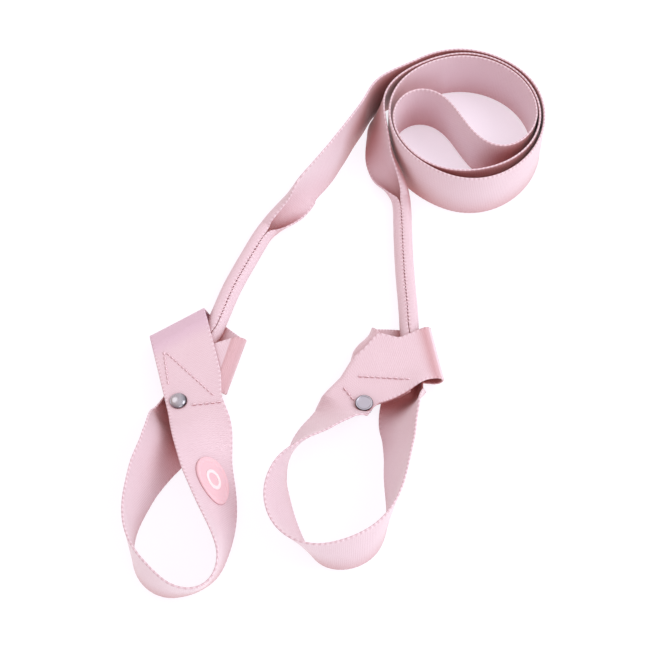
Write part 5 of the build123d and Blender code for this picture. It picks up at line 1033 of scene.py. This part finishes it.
def threads(name, paths, radius):
    points, faces = [], []
    for path in paths:
        rings = thread_rings(path, radius)
        index = (len(points) + np.arange(rings.shape[0] * THREAD_SIDES)).reshape(rings.shape[:2])
        index = index.tolist()
        faces += band_faces(index) + [index[0][::-1], index[-1]]
        points += rings.reshape(-1, 3).tolist()
    return add_object(new_mesh(name, points, faces), THREAD, sharp_degrees=75)


def arch(start, end, up, rise=0.34, sink=0.22):
    """Nine points of a stitch that rises from start to end, its ends sunk in the webbing."""
    t = np.linspace(0, 1, 9)[:, None]
    bow = np.sin(np.pi * t)
    return start + (end - start) * t + up * (rise * bow ** 0.6 - sink * (1 - bow) ** 2)


def row_stitches(start, end):
    """Level stitches along a straight row."""
    start, end = np.array(start), np.array(end)
    count = int(np.linalg.norm(end - start) / KEEPER_STITCH_PITCH)
    up = np.array([0, 0, 1.0])
    stitches = []
    for i in range(count):
        entry = start + (end - start) * ((i + 0.14) / count)
        leave = start + (end - start) * ((i + 0.86) / count)
        entry[2] = leave[2]
        stitches.append(arch(entry - up * 0.12, leave - up * 0.12, up))
    return stitches


def seam_stitch(path, s):
    """Whip stitch from one selvedge over the seam to the other."""
    run = path_run(path, s, s + SEAM_STITCH_LENGTH, step=SEAM_STITCH_LENGTH)
    edges = strip_points(run, np.array([[-SEAM_REACH, SEAM_REACH]] * 2), 0.0)
    normal = np.cross(run["width"], run["travel"])[0]
    up = normal if normal[2] > 0 else -normal
    return arch(edges[0, 0] + up * 0.5, edges[1, 1] + up * 0.5, up, rise=0.25, sink=0.15)


for side, spec in SIDES.items():
    stitches = [stitch for row in spec["stitch_rows"] for stitch in row_stitches(*row)]
    ob = threads(side + "_keeper_stitches", stitches, radius=0.46)
    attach(ob, side + "_keeper")
    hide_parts(side + "_keeper_stitching")

for side, spec in SIDES.items():
    stitches = [seam_stitch(spec["path"], s) for s in np.arange(*spec["seam"], SEAM_STITCH_PITCH)]
    ob = threads(side + "_seam_stitches", stitches, radius=0.34)
    blend_on_path(ob)
    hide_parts(side + "_neck_seam_stitching")


# ---------------------------------------------------------------------------
# Rivets, turned from profiles of radius and height
LEFT_RIVET = (-104.47, -65.73)
RIGHT_RIVET = (9.33, -68.13)
BASE_TOP = 12.41        # top of the lower rivet part, both sides
LEFT_CAP_SEAT = 15.78
RIGHT_CAP_SEAT = 17.28
LATHE_SIDES = 64
DOME_RIM = 0.55         # height of the rim below the crown
DOME_STEPS = 14


def lathe(name, profile, centre, material, side, replaced):
    x, y = centre
    angle = np.arange(LATHE_SIDES) * 2 * math.pi / LATHE_SIDES
    loops = []
    for radius, z in profile:
        around = angle if radius > 1e-6 else angle[:1]
        loops.append(np.c_[x + radius * np.cos(around), y + radius * np.sin(around),
                           np.full(len(around), z)])
    points, rings = stack_rings(loops)
    mesh = new_mesh(name, points, band_faces(rings), outward=True)
    ob = add_object(mesh, material, sharp_degrees=50)
    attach(ob, side + "_keeper")
    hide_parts(replaced)


def dome(radius, height, z):
    """Closed dome: underside, rounded rim, crowned top."""
    profile = [(0, z), (radius - 0.3, z), (radius - 0.08, z + 0.06), (radius, z + 0.22),
               (radius, z + DOME_RIM - 0.15), (radius - 0.1, z + DOME_RIM)]
    for i in range(1, DOME_STEPS):
        angle = i / DOME_STEPS * math.pi / 2
        profile.append(((radius - 0.1) * math.cos(angle),
                        z + DOME_RIM + (height - DOME_RIM) * math.sin(angle)))
    return profile + [(0, z + height)]


lathe("left_rivet_dome", dome(radius=5.4, height=2.9, z=LEFT_CAP_SEAT - 0.02),
      LEFT_RIVET, NICKEL, "left", "left_rivet_cap")

# flange with a post that reaches into the dome; heights from the flange top
FLANGE = [(0, -0.75), (3.9, -0.75), (4.2, -0.6), (4.3, -0.35), (4.2, -0.08), (4.0, 0), (1.75, 0)]
POST_TOP = LEFT_CAP_SEAT + 0.4
lathe("left_rivet_flange",
      [(radius, BASE_TOP + z) for radius, z in FLANGE] + [(1.75, POST_TOP), (0, POST_TOP)],
      LEFT_RIVET, NICKEL, "left", "left_rivet_base")

# dished disc with a raised rim; heights from its underside
DISC = [(0, 0), (5.2, 0), (5.42, 0.1), (5.5, 0.35), (5.45, 0.72), (5.2, 1.0), (4.8, 1.08),
        (4.4, 1.0), (4.15, 0.86), (3.9, 0.8), (2.6, 0.84), (1.3, 0.88), (0, 0.9)]
lathe("right_rivet_disc", [(radius, RIGHT_CAP_SEAT - 0.12 + z) for radius, z in DISC],
      RIGHT_RIVET, SATIN, "right", "right_rivet_cap")

lathe("right_rivet_under_cap",
      [(radius, BASE_TOP - depth) for radius, depth in dome(radius=5.3, height=2.4, z=0.0)],
      RIGHT_RIVET, NICKEL, "right", "right_rivet_base")


# ---------------------------------------------------------------------------
# Oval badge that follows the twist of the left strap
BADGE_ALONG, BADGE_ACROSS = 541.0, -1.5     # its centre on the strap
BADGE_HALF = (16.8, 11.4)                   # half length along, half width across
RING_HALF = (7.4, 5.2)
# Badge face: share of the oval's radius, height above the webbing
BADGE_HEIGHTS = [
    (0.0, 1.02), (0.30, 1.02), (0.60, 1.0), (0.76, 0.98), (0.80, 1.0), (0.835, 1.22),
    (0.87, 1.42), (0.905, 1.5), (0.94, 1.46), (0.97, 1.28), (0.992, 0.98), (1.0, 0.6)]
BADGE_SHARES = (0.0, 0.15, 0.3, 0.45, 0.6, 0.7, 0.76, 0.79, 0.81, 0.83, 0.85, 0.87, 0.89, 0.91,
                0.93, 0.95, 0.965, 0.98, 0.99)
BADGE_RIM_AND_BACK = [(1.0, 0.7), (1.0, 0.35), (0.995, 0.1), (0.98, 0.05), (0.5, 0.05), (0.0, 0.05)]
# Section of the plain ring, in the same columns
RING_SECTION = [(0.62, 1.0), (0.625, 1.25), (0.66, 1.5), (0.74, 1.6), (0.86, 1.6), (0.94, 1.5),
                (0.98, 1.25), (0.985, 1.0), (0.8, 0.98)]


def oval_loops(half, profile, sides):
    """Oval loops on the strap's face, one for each share and height of the profile."""
    angle = np.arange(sides) * 2 * math.pi / sides
    loops = []
    for share, height in profile:
        around = angle if share > 1e-6 else angle[:1]
        run = run_at(LEFT_PATH, BADGE_ALONG + half[0] * share * np.cos(around))
        across = (BADGE_ACROSS + half[1] * share * np.sin(around))[:, None]
        normal = np.cross(run["width"], run["travel"])
        loops.append(run["centre"] + run["width"] * across - normal * (THICKNESS / 2 + height))
    return loops


def badge_part(name, points, rings, material, replaced, sharp_degrees=None):
    mesh = new_mesh(name, points, band_faces(rings, reverse=True), outward=True)
    ob = add_object(mesh, material, sharp_degrees)
    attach(ob, "left_keeper")
    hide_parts(replaced)


face = [(share, np.interp(share, *zip(*BADGE_HEIGHTS))) for share in BADGE_SHARES]
points, rings = stack_rings(oval_loops(BADGE_HALF, face + BADGE_RIM_AND_BACK, sides=96))
badge_part("oval_badge", points, rings, RUBBER, "rubber_badge", sharp_degrees=70)

points, rings = stack_rings(oval_loops(RING_HALF, RING_SECTION, sides=72))
badge_part("badge_plain_ring", points, rings + rings[:1], RING_RUBBER, "badge_ring")


# ---------------------------------------------------------------------------
# Floor, light and camera, in metres
VIEW_CENTRE = Vector((-14.57 * MM, -0.93 * MM, 0))
VIEW_DISTANCE = 1.1
VIEW_ELEVATION = math.radians(58.0)
FLOOR_Z = -0.0004


def add_floor():
    """Pale glowing floor, with painted shade in a round patch inside the coil, where it is dimmer and
    tinted.
    """
    bpy.ops.mesh.primitive_plane_add(size=8.0, location=(0, 0, FLOOR_Z))
    floor = bpy.context.object
    floor.name = "floor"
    material = bpy.data.materials.new("pale_floor")
    material.use_nodes = True
    nodes = Nodes(material.node_tree)
    position = nodes.add("ShaderNodeNewGeometry").outputs["Position"]
    distance = nodes.add("ShaderNodeVectorMath", {0: position, 1: (0.079, 0.1456, FLOOR_Z)},
                         operation="DISTANCE").outputs["Value"]
    # painted shade patch: 0 within 44 mm of the patch centre, 1 beyond 54 mm
    outside = nodes.math("MULTIPLY_ADD", distance, 100.0, -4.4, clamp=True)
    nodes.fill(material.node_tree.nodes["Principled BSDF"], {
        "Emission Color": (0.97, 0.95, 1.0, 1),
        "Emission Strength": nodes.math("MULTIPLY_ADD", outside, 0.46, 0.40),
        "Base Color": nodes.mix(outside, (0.66, 0.60, 0.68, 1), (0.24, 0.24, 0.245, 1)),
        "Roughness": 0.9,
        "Specular IOR Level": 0.05,
    })
    floor.data.materials.append(material)


def add_world():
    """Sky that runs from warm at -X to bright and cool at +X."""
    world = bpy.data.worlds.new("studio")
    bpy.context.scene.world = world
    world.use_nodes = True
    nodes = Nodes(world.node_tree)
    direction = nodes.separate(nodes.add("ShaderNodeTexCoord").outputs["Generated"])
    blend = nodes.add("ShaderNodeMapRange", {
        "From Min": -1.0, "From Max": 1.0, "Value": direction[0]}).outputs[0]
    colour = nodes.mix(blend, (0.80, 0.62, 0.59, 1), (1.14, 1.12, 1.22, 1))
    nodes.fill(world.node_tree.nodes["Background"], {0: colour, 1: 0.92})


def aim(ob, target):
    ob.rotation_euler = (target - ob.location).to_track_quat("-Z", "Y").to_euler()


def add_light(name, location, target, size, power, colour=(1, 1, 1)):
    light = bpy.data.lights.new(name, "AREA")
    light.shape = "DISK"
    light.size = size
    light.energy = power
    light.color = colour
    ob = bpy.data.objects.new(name, light)
    ob.location = location
    aim(ob, Vector(target))
    bpy.context.collection.objects.link(ob)


def add_camera():
    """Camera on the -Y side, looking down at the view centre."""
    camera = bpy.data.cameras.new("camera")
    ob = bpy.data.objects.new("camera", camera)
    bpy.context.collection.objects.link(ob)
    ob.location = VIEW_CENTRE + VIEW_DISTANCE * Vector(
        (0, -math.cos(VIEW_ELEVATION), math.sin(VIEW_ELEVATION)))
    aim(ob, VIEW_CENTRE)
    camera.sensor_width = 36.0
    camera.lens = 95.04
    camera.clip_start = 0.05
    camera.clip_end = 20
    bpy.context.scene.camera = ob


add_floor()
add_world()
add_light("key", (1.15, 0.0, 1.1), target=(0, 0, 0), size=1.0, power=9, colour=(0.97, 0.96, 1.0))
add_light("fill", (-0.9, 0.6, 1.4), target=(0, 0, 0), size=1.2, power=3)
add_light("front", (0.5, -1.5, 0.75), target=(0, 0, 0.02), size=1.0, power=3.6,
          colour=(0.98, 0.97, 1.0))
bpy.context.scene.view_settings.view_transform = "Standard"
bpy.context.scene.view_settings.look = "None"
add_camera()
